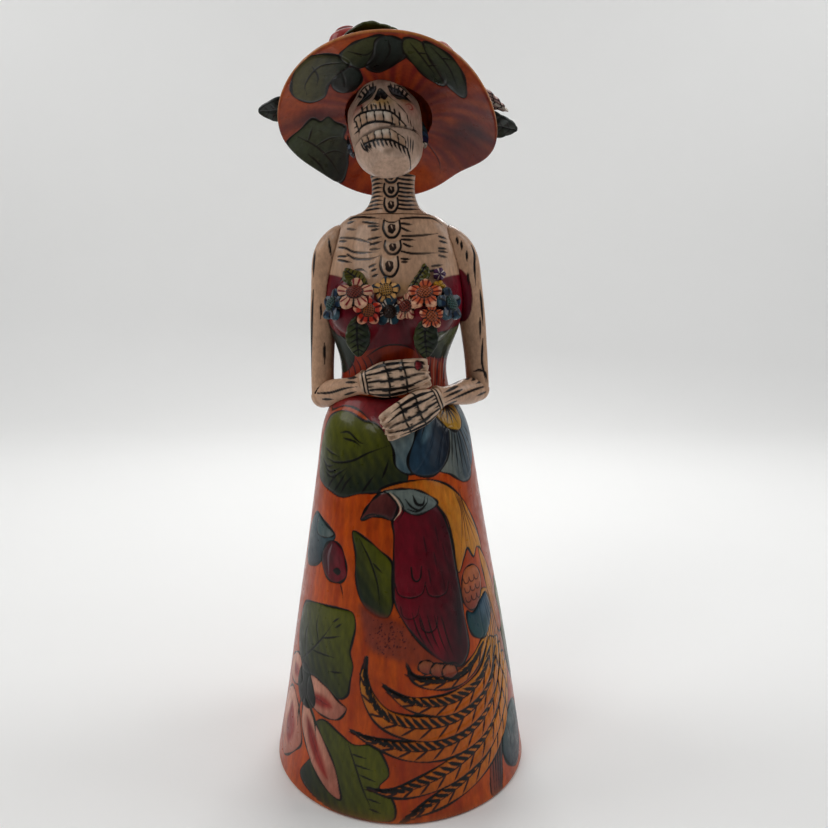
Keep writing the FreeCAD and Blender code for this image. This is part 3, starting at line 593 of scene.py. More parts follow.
class SkirtChart(Chart):
    """Round the skirt: degrees from the front and height, spread out to millimetres."""

    def __init__(self, skin, angle, covers, girth, middle=0.0):
        self.girth = girth
        self.middle = middle
        turned = (angle - middle + 180) % 360 - 180
        super().__init__(skin, self.place(turned, skin.verts[:, 2]), covers)

    def place(self, degrees, height):
        """Millimetres on the chart of a turn and a height."""
        arm = np.interp(height, np.linspace(0, SKIRT_TOP, len(self.girth)), self.girth)
        return np.stack([np.radians(degrees) * arm, height], -1)

    def at(self, *points):
        """The chart's places of (degrees, height) points."""
        p = np.array(points, float)
        return self.place(p[:, 0], p[:, 1])

    def shape(self, points, *args, **more):
        """An area whose outline is in degrees and height."""
        return self.area(self.at(*points), *args, **more)

    def line(self, points, *args, **more):
        """A stroke whose points are in degrees and height."""
        return self.stroke(self.at(*points), *args, **more)


def leaf_shape(chart, outline, light, dark, veins, way=(0.3, -1), wide=0.55):
    """A leaf drawn by its outline, with an inked line for each vein."""
    chart.shape(outline, light, dark, way, ink=0.75, rise=0.18)
    for vein in veins:
        chart.line(vein, wide)


def paint_ground(skin, angle):
    """Orange laid on with long upright strokes and in redder patches, pinker to the sides as a painted
    reflection.
    """
    z = skin.verts[:, 2]
    turn = np.radians(angle)
    streak = (np.sin(turn * 23 + 2 * np.sin(z / 31)) * np.sin(turn * 9 + 1.3)
              + 0.5 * np.sin(turn * 61 + z / 47))
    skin.blend_ground(DEEP_ORANGE, 0.35 + 0.35 * streak)
    patches = 1.2 * np.sin(turn * 5 + z / 38) * np.sin(z / 27 + turn * 3)
    skin.blend_ground(RED_ORANGE, 0.55 * ease(patches - 0.1))
    # Pinker towards the sides: painted reflection of the surroundings on the lacquer.
    skin.blend_ground(PAINTED_SIDE_SHEEN, 0.75 * ease((np.abs(np.sin(turn)) - 0.80) / 0.2))


def paint_front_leaves(c):
    """The leaves on the front of the skirt."""
    leaf_shape(c, [(-74, 226), (-70, 245), (-60, 252), (-46, 253), (-30, 249), (-18, 247), (-6, 236),
                   (2, 224), (5, 215), (0, 210), (-14, 206), (-27, 204), (-40, 200), (-52, 202), (-62, 204),
                   (-71, 209)],
               BRIGHT_OLIVE, DARK_GREEN,
               [[(-60, 222), (-48, 221), (-34, 224), (-22, 230), (-8, 235)],
                [(-48, 240), (-40, 241), (-30, 236), (-24, 235)], [(-44, 237), (-34, 236), (-28, 233)],
                [(-64, 228), (-54, 226), (-46, 225)], [(-66, 220), (-58, 217), (-50, 219)],
                [(-62, 217), (-54, 214), (-44, 218)], [(-60, 213), (-52, 211), (-44, 215), (-38, 219)],
                [(-55, 203), (-50, 210), (-44, 216)], [(-48, 202), (-43, 209), (-38, 217)],
                [(-41, 203), (-38, 209), (-33, 215)], [(-26, 204), (-22, 210), (-17, 217)],
                [(-12, 215), (-10, 220), (-8, 226)]], (0.15, -1), 0.7)
    leaf_shape(c, [(-30, 180), (-27, 166), (-26, 152), (-22, 138), (-15, 131), (-7, 129), (-4, 138),
                   (-5, 152), (-5, 163), (-12, 170), (-20, 176)], BRIGHT_OLIVE, DARK_GREEN,
               [[(-25, 176), (-18, 164), (-13, 150), (-11, 136)], [(-16, 162), (-10, 156)]], (-0.9, -0.5))
    leaf_shape(c, [(-70, 112), (-66, 122), (-54, 127), (-42, 129), (-33, 130), (-26, 129), (-24, 121),
                   (-25, 112), (-26, 104), (-24, 96), (-25, 86), (-26, 77), (-31, 73), (-38, 77), (-48, 80),
                   (-58, 79), (-66, 88), (-70, 100)], BRIGHT_OLIVE, DARK_GREEN,
               [[(-62, 84), (-52, 96), (-44, 108), (-38, 119)], [(-52, 96), (-44, 97), (-35, 98)],
                [(-45, 107), (-38, 110), (-32, 113)], [(-47, 103), (-50, 112), (-50, 120)],
                [(-38, 120), (-34, 124)], [(-36, 117), (-32, 121)], [(-58, 92), (-60, 102), (-58, 112)],
                [(-30, 90), (-38, 88)]], (-0.7, -0.8), 0.6)
    leaf_shape(c, [(-44, 49), (-38, 56), (-28, 51), (-21, 47), (-12, 49), (-7, 41), (-5, 31), (-9, 23),
                   (-4, 17), (-2, 9), (-4, 2.5), (-16, 1.5), (-28, 2), (-40, 5), (-50, 12), (-46, 24),
                   (-40, 34)],
               BRIGHT_OLIVE, DARK_GREEN,
               [[(-24, 47), (-20, 34), (-16, 20), (-11, 6)], [(-22, 41), (-15, 40)], [(-21, 35), (-12, 33)],
                [(-18, 29), (-10, 26)], [(-14, 15), (-8, 13)], [(-13, 9), (-8, 7)]], (-0.9, -0.4), 0.6)


def paint_bud(c):
    """The bud on the front of the skirt."""
    c.shape([(-66, 184), (-54, 181), (-43, 175), (-46, 168), (-51, 158), (-58, 151), (-70, 147), (-78, 156),
             (-76, 172)],
            shade(34, 62, 70), NIGHT_BLUE, (-0.4, -1), ink=0.8)
    c.shape([(-62, 183), (-54, 180), (-44, 175), (-52, 171), (-62, 172)], SLATE, TEAL, (-1, 0), ink=0.5)
    c.shape([(-53, 158), (-50, 167), (-44, 171), (-37, 168), (-33, 159), (-32, 151), (-36, 146), (-43, 145),
             (-49, 149)], DARK_MAROON, MAROON, (1, -0.2), ink=0.8)
    c.stroke(c.at((-45, 168), (-47, 160), (-45, 149)), 0.9, colour=shade(96, 70, 76))
    c.shape([(-42, 152), (-39, 155), (-36, 153), (-38, 150)], INK, ink=0.0)
    c.line([(-36, 146), (-34, 141), (-33, 137)], 0.5)


def paint_lily(c):
    """A wide lily low on the right side of the skirt, with long pointed petals."""
    petals = [
        [(-52, 78), (-46, 80), (-38, 77), (-30, 71), (-26, 68), (-30, 60), (-38, 58), (-46, 60), (-52, 66)],
        [(-54, 62), (-47, 56), (-38, 44), (-31, 32), (-27, 18), (-26, 10), (-32, 12), (-40, 20), (-48, 32),
         (-54, 46)],
        [(-70, 60), (-60, 55), (-55, 44), (-52, 32), (-56, 24), (-64, 14), (-70, 12), (-78, 26), (-80, 44)],
        [(-76, 78), (-66, 86), (-60, 80), (-58, 70), (-66, 64), (-76, 66)],
    ]
    hearts = [
        [(-49, 68), (-43, 71), (-37, 70), (-34, 66), (-40, 63), (-46, 64)],
        [(-50, 52), (-44, 46), (-38, 34), (-33, 20), (-40, 26), (-47, 38)],
        [(-67, 50), (-62, 44), (-60, 34), (-65, 22), (-71, 32)],
        [(-70, 76), (-65, 78), (-62, 72), (-68, 70)],
    ]
    for petal, heart in zip(petals, hearts):
        c.shape(petal, LILY_PALE, shade(164, 96, 78), (0.6, -0.8), ink=0.75, rise=0.25)
        c.shape(heart, LILY_RED, shade(120, 26, 22), (-1, 0), ink=0.0, soft=2.2, rise=0.0, rim=0.0)
        middle = np.mean(np.array(heart, float), 0)
        c.line([heart[0], tuple(middle), heart[len(heart) // 2]], 0.35, colour=shade(96, 18, 20))
    c.shape([(-58, 84), (-52, 81), (-45, 66), (-48, 58), (-57, 58), (-62, 66), (-62, 76)], SLATE_GREEN, INK,
            ink=0.3)
    c.line([(-56, 70), (-60, 78), (-58, 88)], 0.7)
    c.line([(-53, 64), (-45, 54), (-42, 42)], 1.2, colour=DARK_GREEN)
    c.line([(-57, 62), (-58, 50), (-57, 38)], 0.8, colour=DARK_GREEN)


def paint_blue_flower(c):
    """Half a blue flower that hangs from the waist on the left side."""
    c.shape([(40, 262), (46, 264), (64, 263), (84, 258), (88, 240), (76, 222), (66, 214), (58, 210),
             (48, 217), (38, 226), (36, 246)], PALE_BLUE, shade(40, 64, 84), (1, -0.3), ink=0.7)
    c.shape([(36, 240), (47, 244), (56, 240), (62, 226), (65, 211), (52, 207), (38, 214), (27, 220)],
            shade(112, 116, 108), shade(26, 50, 66), (0.9, 0.2), ink=0.8, rise=0.25)
    for top, low in (((46, 243), (40, 219)), ((48, 243), (46, 214)), ((51, 243), (52, 211)),
                     ((53, 242), (58, 211)), ((58, 241), (68, 218)), ((62, 240), (74, 224)),
                     ((66, 241), (80, 232))):
        c.line([top, ((top[0] + low[0]) / 2 - 1, (top[1] + low[1]) / 2), low], 0.55)
    c.shape([(-10, 244), (-5, 232), (-3, 222), (6, 217), (14, 222), (26, 240), (32, 256), (16, 258),
             (0, 254)],
            shade(118, 130, 128), shade(60, 82, 92), (0.6, -0.7), ink=0.8, rise=0.25)
    c.shape([(22, 258), (10, 238), (5, 226), (8, 218), (18, 215), (28, 217), (37, 226), (41, 238),
             (41, 250), (34, 258)], shade(34, 58, 76), shade(10, 18, 32), (1, 0.1), ink=0.9, rise=0.35)
    c.shape([(24, 252), (18, 243), (16, 236), (22, 240), (28, 250)], shade(70, 96, 108), ink=0.0, soft=2.0,
            rim=0)
    for top, low in (((24, 256), (12, 240)), ((26, 256), (17, 246)), ((27, 256), (15, 238))):
        c.line([top, low], 0.5)
    c.shape([(31, 256), (34, 248), (41, 243), (50, 240), (60, 241), (66, 247), (66, 256), (56, 262),
             (42, 263)],
            YELLOW, shade(128, 82, 14), (0, 1), ink=0.9, rise=0.4)
    for tip in ((36, 249), (42, 245), (49, 243), (56, 244), (62, 249), (63, 255)):
        c.line([(49, 257), ((49 + tip[0]) / 2 + 1, (257 + tip[1]) / 2), tip], 0.7)
    c.wash(c.at((47, 259))[0], (10, 4), LILY_RED, 0.8)


def scallops(c, left, right, height, deep, colour=INK, wide=0.4):
    """A feather's edge: a shallow bowl between two turns at a height."""
    middle = (left + right) / 2
    c.line([(left, height), (left + 0.25 * (middle - left), height - 0.75 * deep), (middle, height - deep),
            (right - 0.25 * (right - middle), height - 0.75 * deep), (right, height)], wide, 0.8, 0.6,
           colour)


def plume(c, spine, wide):
    """One tail feather: an ochre blade round a quill, with slanted black bars on its upper side."""
    line = smooth(c.at(*spine), False, 3.0)
    way = np.gradient(line, axis=0)
    way /= np.linalg.norm(way, axis=1)[:, None]
    side = np.stack([way[:, 1], -way[:, 0]], 1)
    t = np.linspace(0, 1, len(line))[:, None]
    half = wide * (0.45 + 0.55 * np.sin(np.pi * t**0.7)) * (1 - t**7)
    outline = np.vstack([line + side * half, (line - side * half)[::-1]])
    c.area(outline, OCHRE, AMBER, (0, -1), ink=0.85, rise=0.35)
    c.stroke(line, 0.5)
    for k in range(2, len(line) - 2, 2):
        lean = way[k] * 8.0
        c.stroke([line[k] + side[k] * 0.4, line[k] + side[k] * half[k] * 0.5 + 0.55 * lean,
                  line[k] + side[k] * half[k] * 0.9 + lean], 1.25, 0.9, 0.1)
        if k % 4 == 0:
            c.stroke([line[k] - side[k] * 0.4, line[k] - side[k] * half[k] * 0.5 + 0.55 * lean,
                      line[k] - side[k] * half[k] * 0.84 + lean], 0.8, 0.9, 0.1, shade(40, 12, 10))


def paint_tail(c):
    """Six long plumes of the bird's tail that sweep down to the front."""
    # The root of the tail turns pinker towards the side: the same painted reflection.
    c.shape([(50, 132), (60, 134), (68, 120), (72, 98), (72, 76), (62, 74), (56, 90), (50, 108)], OCHRE,
            PAINTED_SIDE_SHEEN, (1, 0), ink=0.6)
    plumes = [
        ([(52, 106), (42, 94), (30, 87), (16, 87), (7, 91), (3, 99)], 5.2),
        ([(57, 102), (48, 84), (36, 75), (20, 72), (4, 76), (-8, 86)], 7.4),
        ([(61, 100), (55, 80), (42, 67), (26, 60), (8, 60), (-7, 66), (-15, 78), (-18, 91), (-17, 103)],
         8.6),
        ([(64, 94), (57, 72), (43, 55), (25, 47), (6, 46), (-9, 50), (-23, 55)], 8.8),
        ([(67, 86), (59, 62), (45, 44), (29, 33), (12, 25), (-2, 20), (-14, 21)], 9.4),
        ([(70, 78), (61, 54), (48, 36), (34, 24), (20, 15), (8, 8), (1, 2)], 8.8),
    ]
    for spine, wide in reversed(plumes):
        plume(c, spine, wide)
    for k in range(9):
        start = 54 + 2.2 * k
        c.line([(start - 2, 134 - 1.2 * k), (start + 1.5, 114), (start, 96), (start - 4, 80 - k)], 0.42)


def paint_bird(c):
    """A parrot seen from the side, in burgundy with an ochre cape."""
    c.shape([(-22, 135), (-12, 130), (0, 127), (14, 116), (26, 108), (34, 102), (30, 92), (18, 94),
             (6, 100), (-6, 104), (-16, 110), (-20, 122)], RUST, shade(140, 52, 16), (1, -0.4), ink=0.0,
            soft=3.5, rise=0.1)
    c.dots(c.at((-4, 116))[0], (16, 12), 110, 0.42, DARK_MAROON, 5)
    c.line([(20, 92), (28, 87), (38, 90), (42, 97)], 0.8)
    c.line([(12, 101), (18, 92), (26, 87), (34, 86)], 0.5)
    c.shape([(-14, 207), (-6, 211), (6, 213), (20, 213), (34, 208), (46, 198), (54, 186), (60, 172),
             (62, 160), (56, 163), (51, 158), (46, 165), (42, 160), (36, 152), (34, 172), (31, 188),
             (22, 198), (8, 206), (-6, 206)], AMBER, OCHRE, (1, 0), ink=0.8, rise=0.25)
    for low in ((40, 164), (45, 166), (50, 163), (56, 166), (60, 170)):
        c.line([(26 + 0.3 * low[0], 206), (34 + 0.25 * low[0], 188), low], 0.34, 0.1, 0.3, shade(70, 30, 8))
    # The cape turns pinker towards the side: the same painted reflection.
    c.shape([(58, 162), (66, 150), (72, 128), (76, 104), (68, 100), (63, 118), (60, 140)], OCHRE, PAINTED_SIDE_SHEEN,
            (1, 0), ink=0.6)
    c.shape([(-5, 188), (-2, 196), (2, 202), (8, 204), (20, 200), (28, 191), (32, 178), (34, 160),
             (36, 140), (37, 122), (38, 106), (35, 97), (30, 94), (20, 101), (10, 113), (2, 126), (-3, 138),
             (-4, 152), (-4, 168), (-4, 180)], MAROON, DARK_MAROON, (1, 0.05), ink=0.9, rise=0.6)
    c.wash(c.at((20, 112))[0], (5, 12), shade(128, 10, 30), 0.7)
    c.wash(c.at((33, 125))[0], (4, 26), shade(24, 22, 26), 0.8)
    c.shape([(-11, 206), (-4, 208), (8, 208), (18, 204), (25, 198), (18, 194), (10, 192), (4, 194),
             (-2, 199)],
            shade(112, 122, 116), SLATE, (0, -1), ink=0.7, rise=0.5)
    c.line([(3, 202), (7, 197), (12, 195), (17, 199), (18, 203)], 0.7)
    c.line([(8, 204), (10, 199), (14, 198), (16, 203)], 0.9)
    c.line([(4, 196), (10, 194), (16, 196)], 0.5)
    c.shape([(-25, 188), (-22, 195), (-17, 202), (-11, 206), (-6, 204), (-2, 198), (-3, 192), (-6, 189),
             (-12, 191), (-19, 190)], BEAK, shade(66, 26, 28), (0.8, -0.5), ink=0.9, rise=0.7)
    c.line([(-7, 206), (-2, 201), (0, 195), (-4, 189)], 0.55, colour=PALE_BONE)
    c.line([(-5, 206), (0, 201), (2, 195), (-2, 188)], 0.45)
    c.line([(-25, 188), (-18, 192), (-8, 190), (-4, 186)], 0.55)
    scallops(c, -3, 14, 150, 9)
    scallops(c, 14, 28, 148, 8)
    scallops(c, 6, 12, 160, 9, wide=0.6)
    scallops(c, 0, 10, 136, 8, wide=0.3)
    scallops(c, 10, 20, 128, 9)
    for x, z in ((14, 178), (22, 183), (20, 168), (26, 172), (16, 158), (24, 155), (28, 164)):
        c.line([(x, z), (x + 1, z - 7), (x + 1.5, z - 12)], 0.5, 0.6, 0.1, DARK_MAROON)
    for k in range(5):
        c.line([(6 + 4 * k, 132 - k), (9 + 4 * k, 120 - 2 * k), (14 + 3.5 * k, 108 - 2 * k)], 0.45)
    c.shape([(38, 146), (42, 153), (50, 153), (55, 146), (54, 136), (48, 127), (42, 126), (37, 134)],
            shade(170, 92, 50), RUST, (0, -1), ink=0.6, rise=0.4)
    for row in range(3):
        for k in range(3):
            scallops(c, 39 + 4.6 * k, 43.6 + 4.6 * k, 147 - 6 * row, 3.6, wide=0.35)
    c.shape([(39, 126), (44, 124), (52, 130), (58, 132), (61, 122), (58, 112), (51, 105), (43, 108),
             (39, 116)],
            TEAL, shade(30, 56, 78), (0.6, 0.8), ink=0.7, rise=0.5)
    c.wash(c.at((53, 124))[0], (4, 6), shade(70, 100, 120), 0.5)
    for angle, z in ((12, 97), (18, 94), (24, 92)):
        c.shape([(angle - 3, z + 3), (angle, z + 5), (angle + 4, z + 3), (angle + 5, z - 2),
                 (angle + 1, z - 4), (angle - 3, z - 1)], shade(150, 86, 58), RUST, (0, -1), ink=0.6,
                rise=0.5)
    c.line([(16, 100), (22, 98), (28, 97), (33, 92)], 0.6)


def paint_left_side(c):
    """Tree trunk, a leaf and a blue fruit towards the left side and the back."""
    c.shape([(46, 60), (50, 66), (56, 62), (55, 40), (53, 20), (50, 2), (43, 3), (44, 26), (45, 44)],
            shade(128, 58, 40), DARK_MAROON, (1, 0), ink=0.6)
    for k in range(5):
        c.line([(45.6 + 2 * k, 66), (46.2 + 2 * k, 40), (45.4 + 1.7 * k, 18), (44.6 + 1.5 * k, 4)], 0.9)
    leaf_shape(c, [(76, 132), (88, 126), (98, 104), (98, 78), (90, 62), (80, 58), (74, 74), (72, 98)],
               BRIGHT_OLIVE, DARK_GREEN, [[(82, 66), (86, 88), (88, 112)], [(86, 88), (94, 96)],
                                          [(85, 80), (78, 90)]])
    c.shape([(56, 38), (62, 46), (72, 48), (80, 40), (82, 26), (76, 12), (66, 6), (58, 12), (54, 24)],
            shade(38, 66, 70), NIGHT_BLUE, (0.3, -1), ink=0.9, rise=0.5)
    c.line([(60, 42), (62, 28), (60, 14)], 0.5)
    c.line([(68, 46), (71, 30), (67, 10)], 0.5)


def round_flower(c, middle, radius, petals, inner, outer, heart, start=0.0):
    """A full flower of pointed petals, for the parts of the skirt away from the front."""
    middle = np.asarray(middle, float)
    for k in range(petals):
        turn = start + 2 * math.pi * k / petals
        out = np.array([math.cos(turn), math.sin(turn)])
        side = np.array([-out[1], out[0]])
        wide = radius * 1.9 / petals
        outline = [middle + out * 3, middle + out * 0.45 * radius + side * wide,
                   middle + out * 0.8 * radius + side * wide * 0.8, middle + out * radius,
                   middle + out * 0.8 * radius - side * wide * 0.8,
                   middle + out * 0.45 * radius - side * wide]
        c.area(outline, inner, outer, tuple(out), ink=0.75, rise=0.35)
        for lean in (-0.35, 0.0, 0.35):
            c.stroke([middle + out * 0.3 * radius + side * lean * 0.4 * wide,
                      middle + out * 0.72 * radius + side * lean * 1.3 * wide], 0.45)
    turns = np.linspace(0, 2 * math.pi, 9)[:-1]
    ring = [middle + 0.27 * radius * np.array([math.cos(a), math.sin(a)]) for a in turns]
    c.area(ring, heart, shade(110, 66, 14), (0, -1), ink=0.8, rise=0.7)
    c.dots(middle, (0.2 * radius, 0.2 * radius), 14, 0.5, INK, petals)


def leaf_between(c, base, tip, half, light=BRIGHT_OLIVE, dark=DARK_GREEN, wavy=0.0, veins=5):
    """A leaf from base to tip with a midrib and side veins."""
    base, tip = np.asarray(base, float), np.asarray(tip, float)
    way = tip - base
    side = np.array([-way[1], way[0]]) / np.linalg.norm(way)
    left, right = [], []
    for t in (0.12, 0.3, 0.5, 0.7, 0.88):
        wide = half * math.sin(math.pi * t**0.8) * (1 + wavy * math.cos(9 * t))
        left.append(base + way * t + side * wide)
        right.append(base + way * t - side * wide)
    c.area([base] + left + [tip] + right[::-1], light, dark, tuple(-side + 0.4 * way / np.linalg.norm(way)),
           ink=0.75, rise=0.3)
    c.stroke([base + way * 0.05, base + way * 0.5 + side * 0.08 * half, base + way * 0.93], 0.6)
    for t in np.linspace(0.2, 0.75, veins):
        wide = 0.72 * half * math.sin(math.pi * t**0.8)
        c.stroke([base + way * t, base + way * (t + 0.12) + side * wide], 0.4)
        c.stroke([base + way * t, base + way * (t + 0.12) - side * wide], 0.4)


def paint_back(skin, angle, covers, girth):
    """The back and its sides, in the same manner: round flowers, leaves and small buds."""
    c = SkirtChart(skin, angle, covers, girth, 180.0)
    for base, tip, half in (((-8, 128), (-52, 150), 17), ((10, 126), (56, 146), 17),
                            ((-6, 150), (-26, 206), 15), ((8, 150), (30, 208), 15),
                            ((-4, 76), (-40, 52), 15), ((10, 72), (46, 46), 15), ((-54, 60), (-70, 96), 13),
                            ((60, 62), (68, 104), 13), ((0, 44), (6, 6), 13), ((-10, 224), (-44, 248), 12),
                            ((12, 224), (44, 246), 12)):
        leaf_between(c, c.at(base)[0], c.at(tip)[0], half)
    round_flower(c, c.at((0, 138))[0], 31, 7, shade(112, 126, 126), shade(16, 32, 54), YELLOW, 0.3)
    round_flower(c, c.at((2, 58))[0], 27, 6, LILY_PALE, LILY_RED, YELLOW, 0.9)
    round_flower(c, c.at((0, 226))[0], 19, 6, shade(150, 30, 40), DARK_MAROON, YELLOW, 0.1)
    round_flower(c, c.at((-58, 122))[0], 17, 6, LILY_PALE, LILY_RED, OCHRE, 0.4)
    round_flower(c, c.at((58, 186))[0], 17, 6, shade(112, 126, 126), shade(16, 40, 60), OCHRE, 0.2)
    round_flower(c, c.at((-48, 26))[0], 19, 6, shade(112, 126, 126), shade(16, 40, 60), OCHRE, 0.6)
    for spot in ((-46, 196), (40, 94), (-28, 100), (30, 24), (52, 232)):
        middle = c.at(spot)[0]
        c.area([middle + np.array(step) for step in ((-5, -2), (-4, 4), (0, 8), (4, 4), (5, -2), (0, -6))],
               MAROON, DARK_MAROON, (1, 0), ink=0.7, rise=0.4)
        c.stroke([middle + (0, -6), middle + (2, -12), middle + (1, -18)], 0.5)


def make_skirt():
    """The skirt's skin: ground, back, sides, and then the front from the back layer forward."""
    skin, angle, covers, girth = build_skirt()
    paint_ground(skin, angle)
    skin.blend_ground(shade(150, 128, 100), np.where(covers, 0, 1.0))
    c = SkirtChart(skin, angle, covers, girth)
    paint_back(skin, angle, covers, girth)
    paint_left_side(c)
    c.shape([(-78, 262), (-50, 263), (-20, 262), (0, 262), (8, 252), (4, 238), (-8, 236), (-20, 246),
             (-36, 254), (-54, 256), (-72, 252)], MAROON, shade(140, 30, 26), (-1, 0.2), ink=0.7)
    paint_front_leaves(c)
    paint_bud(c)
    paint_lily(c)
    paint_blue_flower(c)
    paint_tail(c)
    paint_bird(c)
    z = skin.verts[:, 2]
    skin.blend_ground(shade(196, 122, 70), np.where(covers, 0.55 * np.exp(-z / 2.2), 0))
    skin.finish("skirt_skin", "skirt_paint", ["skirt_shell"], LACQUER)


# ------------------------------------------------------------------ bodice, neck and arms
FRONT = (0, -1, 0)
REAR = (0, 1, 0)
# Upright axes of the bodice and the neck, and the heights between which rays find their walls.
BODICE_AXIS, BODICE_SPAN = (-4.4, -2.0), (264.3, 377.7)
NECK_AXIS, NECK_SPAN = (-4.7, 1.0), (378.2, 402.8)


def calm(grid, passes, closed=True):
    """A grid of radii with its creases softened. The turns join up; the first and last rows stay."""
    for _ in range(passes):
        grid = (np.roll(grid, 1, 1) + 2 * grid + np.roll(grid, -1, 1)) / 4
        inner = (grid[:-2] + 2 * grid[1:-1] + grid[2:]) / 4
        grid = np.vstack([grid[:1], inner, grid[-1:]])
    return grid


def tube(axis, heights, grid, ground, turn_in=2.5):
    """A skin of rings round an upright axis, with a short lip turned in at both ends."""
    z = np.concatenate([[heights[0] + 0.6], heights, [heights[-1] - 0.1]])
    r = np.vstack([grid[:1] - turn_in, grid, grid[-1:] - turn_in])
    turn = np.linspace(0, 2 * np.pi, r.shape[1], endpoint=False)
    tall = np.broadcast_to(z[:, None], r.shape)
    verts = np.stack([axis[0] + r * np.sin(turn), axis[1] - r * np.cos(turn), tall], -1).reshape(-1, 3)
    return Skin(verts, grid_faces(*r.shape), ground)


def vertebra(c, x, z, wide, tall, drop=1.0):
    """One bone of the spine: a thick U with a dark drop hanging in it."""
    c.area([(x - wide, z + tall), (x - 1.05 * wide, z), (x - 0.6 * wide, z - 0.8 * tall), (x, z - tall),
            (x + 0.6 * wide, z - 0.8 * tall), (x + 1.05 * wide, z), (x + wide, z + tall),
            (x, z + 0.7 * tall)],
           PALE_BONE, BONE, (0, -1), ink=0.0, rise=0.5)
    c.stroke([(x - wide, z + tall), (x - 1.08 * wide, z), (x - 0.62 * wide, z - 0.82 * tall),
              (x, z - 1.02 * tall), (x + 0.62 * wide, z - 0.82 * tall), (x + 1.08 * wide, z),
              (x + wide, z + tall)], 0.85, 0.8,
             0.8)
    c.area([(x - 0.42 * wide, z + 0.35 * tall), (x - 0.38 * wide, z - 0.3 * tall),
            (x, z - 0.55 * tall * drop), (x + 0.42 * wide, z - 0.2 * tall),
            (x + 0.40 * wide, z + 0.4 * tall), (x, z + 0.55 * tall)],
           shade(58, 36, 26), INK, (0, -1), ink=0.35, rise=-0.3)
    c.stroke([(x - 0.1 * wide, z + 0.5 * tall), (x + 0.1 * wide, z)], 0.3, colour=PALE_BONE)


RIBS = [
    [(-38.7, 363.2), (-30, 362.6), (-21, 360.2), (-16, 358)], [(-39, 361), (-34, 361)],
    [(-39.6, 357), (-35, 356.4), (-30, 354), (-23, 353.4), (-14, 354)], [(-40, 351.2), (-33, 351.4)],
    [(-40, 349), (-31, 347.4)], [(-34, 352.6), (-29, 349.8), (-20, 349.4), (-12, 351.8)],
    [(-24, 373), (-13, 371.4)], [(-20.4, 370.2), (-12.8, 370)], [(-18, 367.6), (-13.4, 368.4)],
    [(-20.4, 361.6), (-12, 363.4)], [(-19, 358.4), (-12, 360.4)], [(-19, 355.4), (-13, 355.8)],
    [(-19.6, 344.4), (-15.2, 346.4)], [(-18, 342), (-14.6, 343.6)], [(-17.4, 338.6), (-14, 340)],
    [(-34, 372.6), (-29.6, 373.8)], [(-34, 368.8), (-28, 368)], [(-31, 336), (-36, 338), (-39, 335)],
    [(-33, 341), (-25, 343), (-21, 341)],
    [(0.6, 371.8), (7.8, 371)], [(0.6, 369), (4, 367.4), (7, 366.6)],
    [(1, 363.8), (12, 364.2), (24, 365.8)], [(0.6, 361.6), (9.4, 361.4)],
    [(2, 359), (5, 357.6), (8, 357.2)], [(0.6, 354.2), (9, 352.8), (24, 353.6)],
    [(0.6, 349.6), (6.4, 349.2)], [(1, 347.6), (5, 347.6)], [(24.6, 364), (30, 362.4)],
    [(25.4, 361), (30.4, 359.6)], [(24.6, 356.4), (30, 356)], [(24.6, 354.6), (30.4, 353.8)],
    [(24.6, 351.8), (30, 350.6)], [(16, 341.6), (24, 342.8)], [(20, 345), (27, 346)],
    [(-33, 375), (-29, 376.4), (-20, 375.8), (-12, 374.8)], [(0, 374.8), (9, 375.6), (19, 375.6),
                                                             (23, 374.4), (27, 371.4)],
]


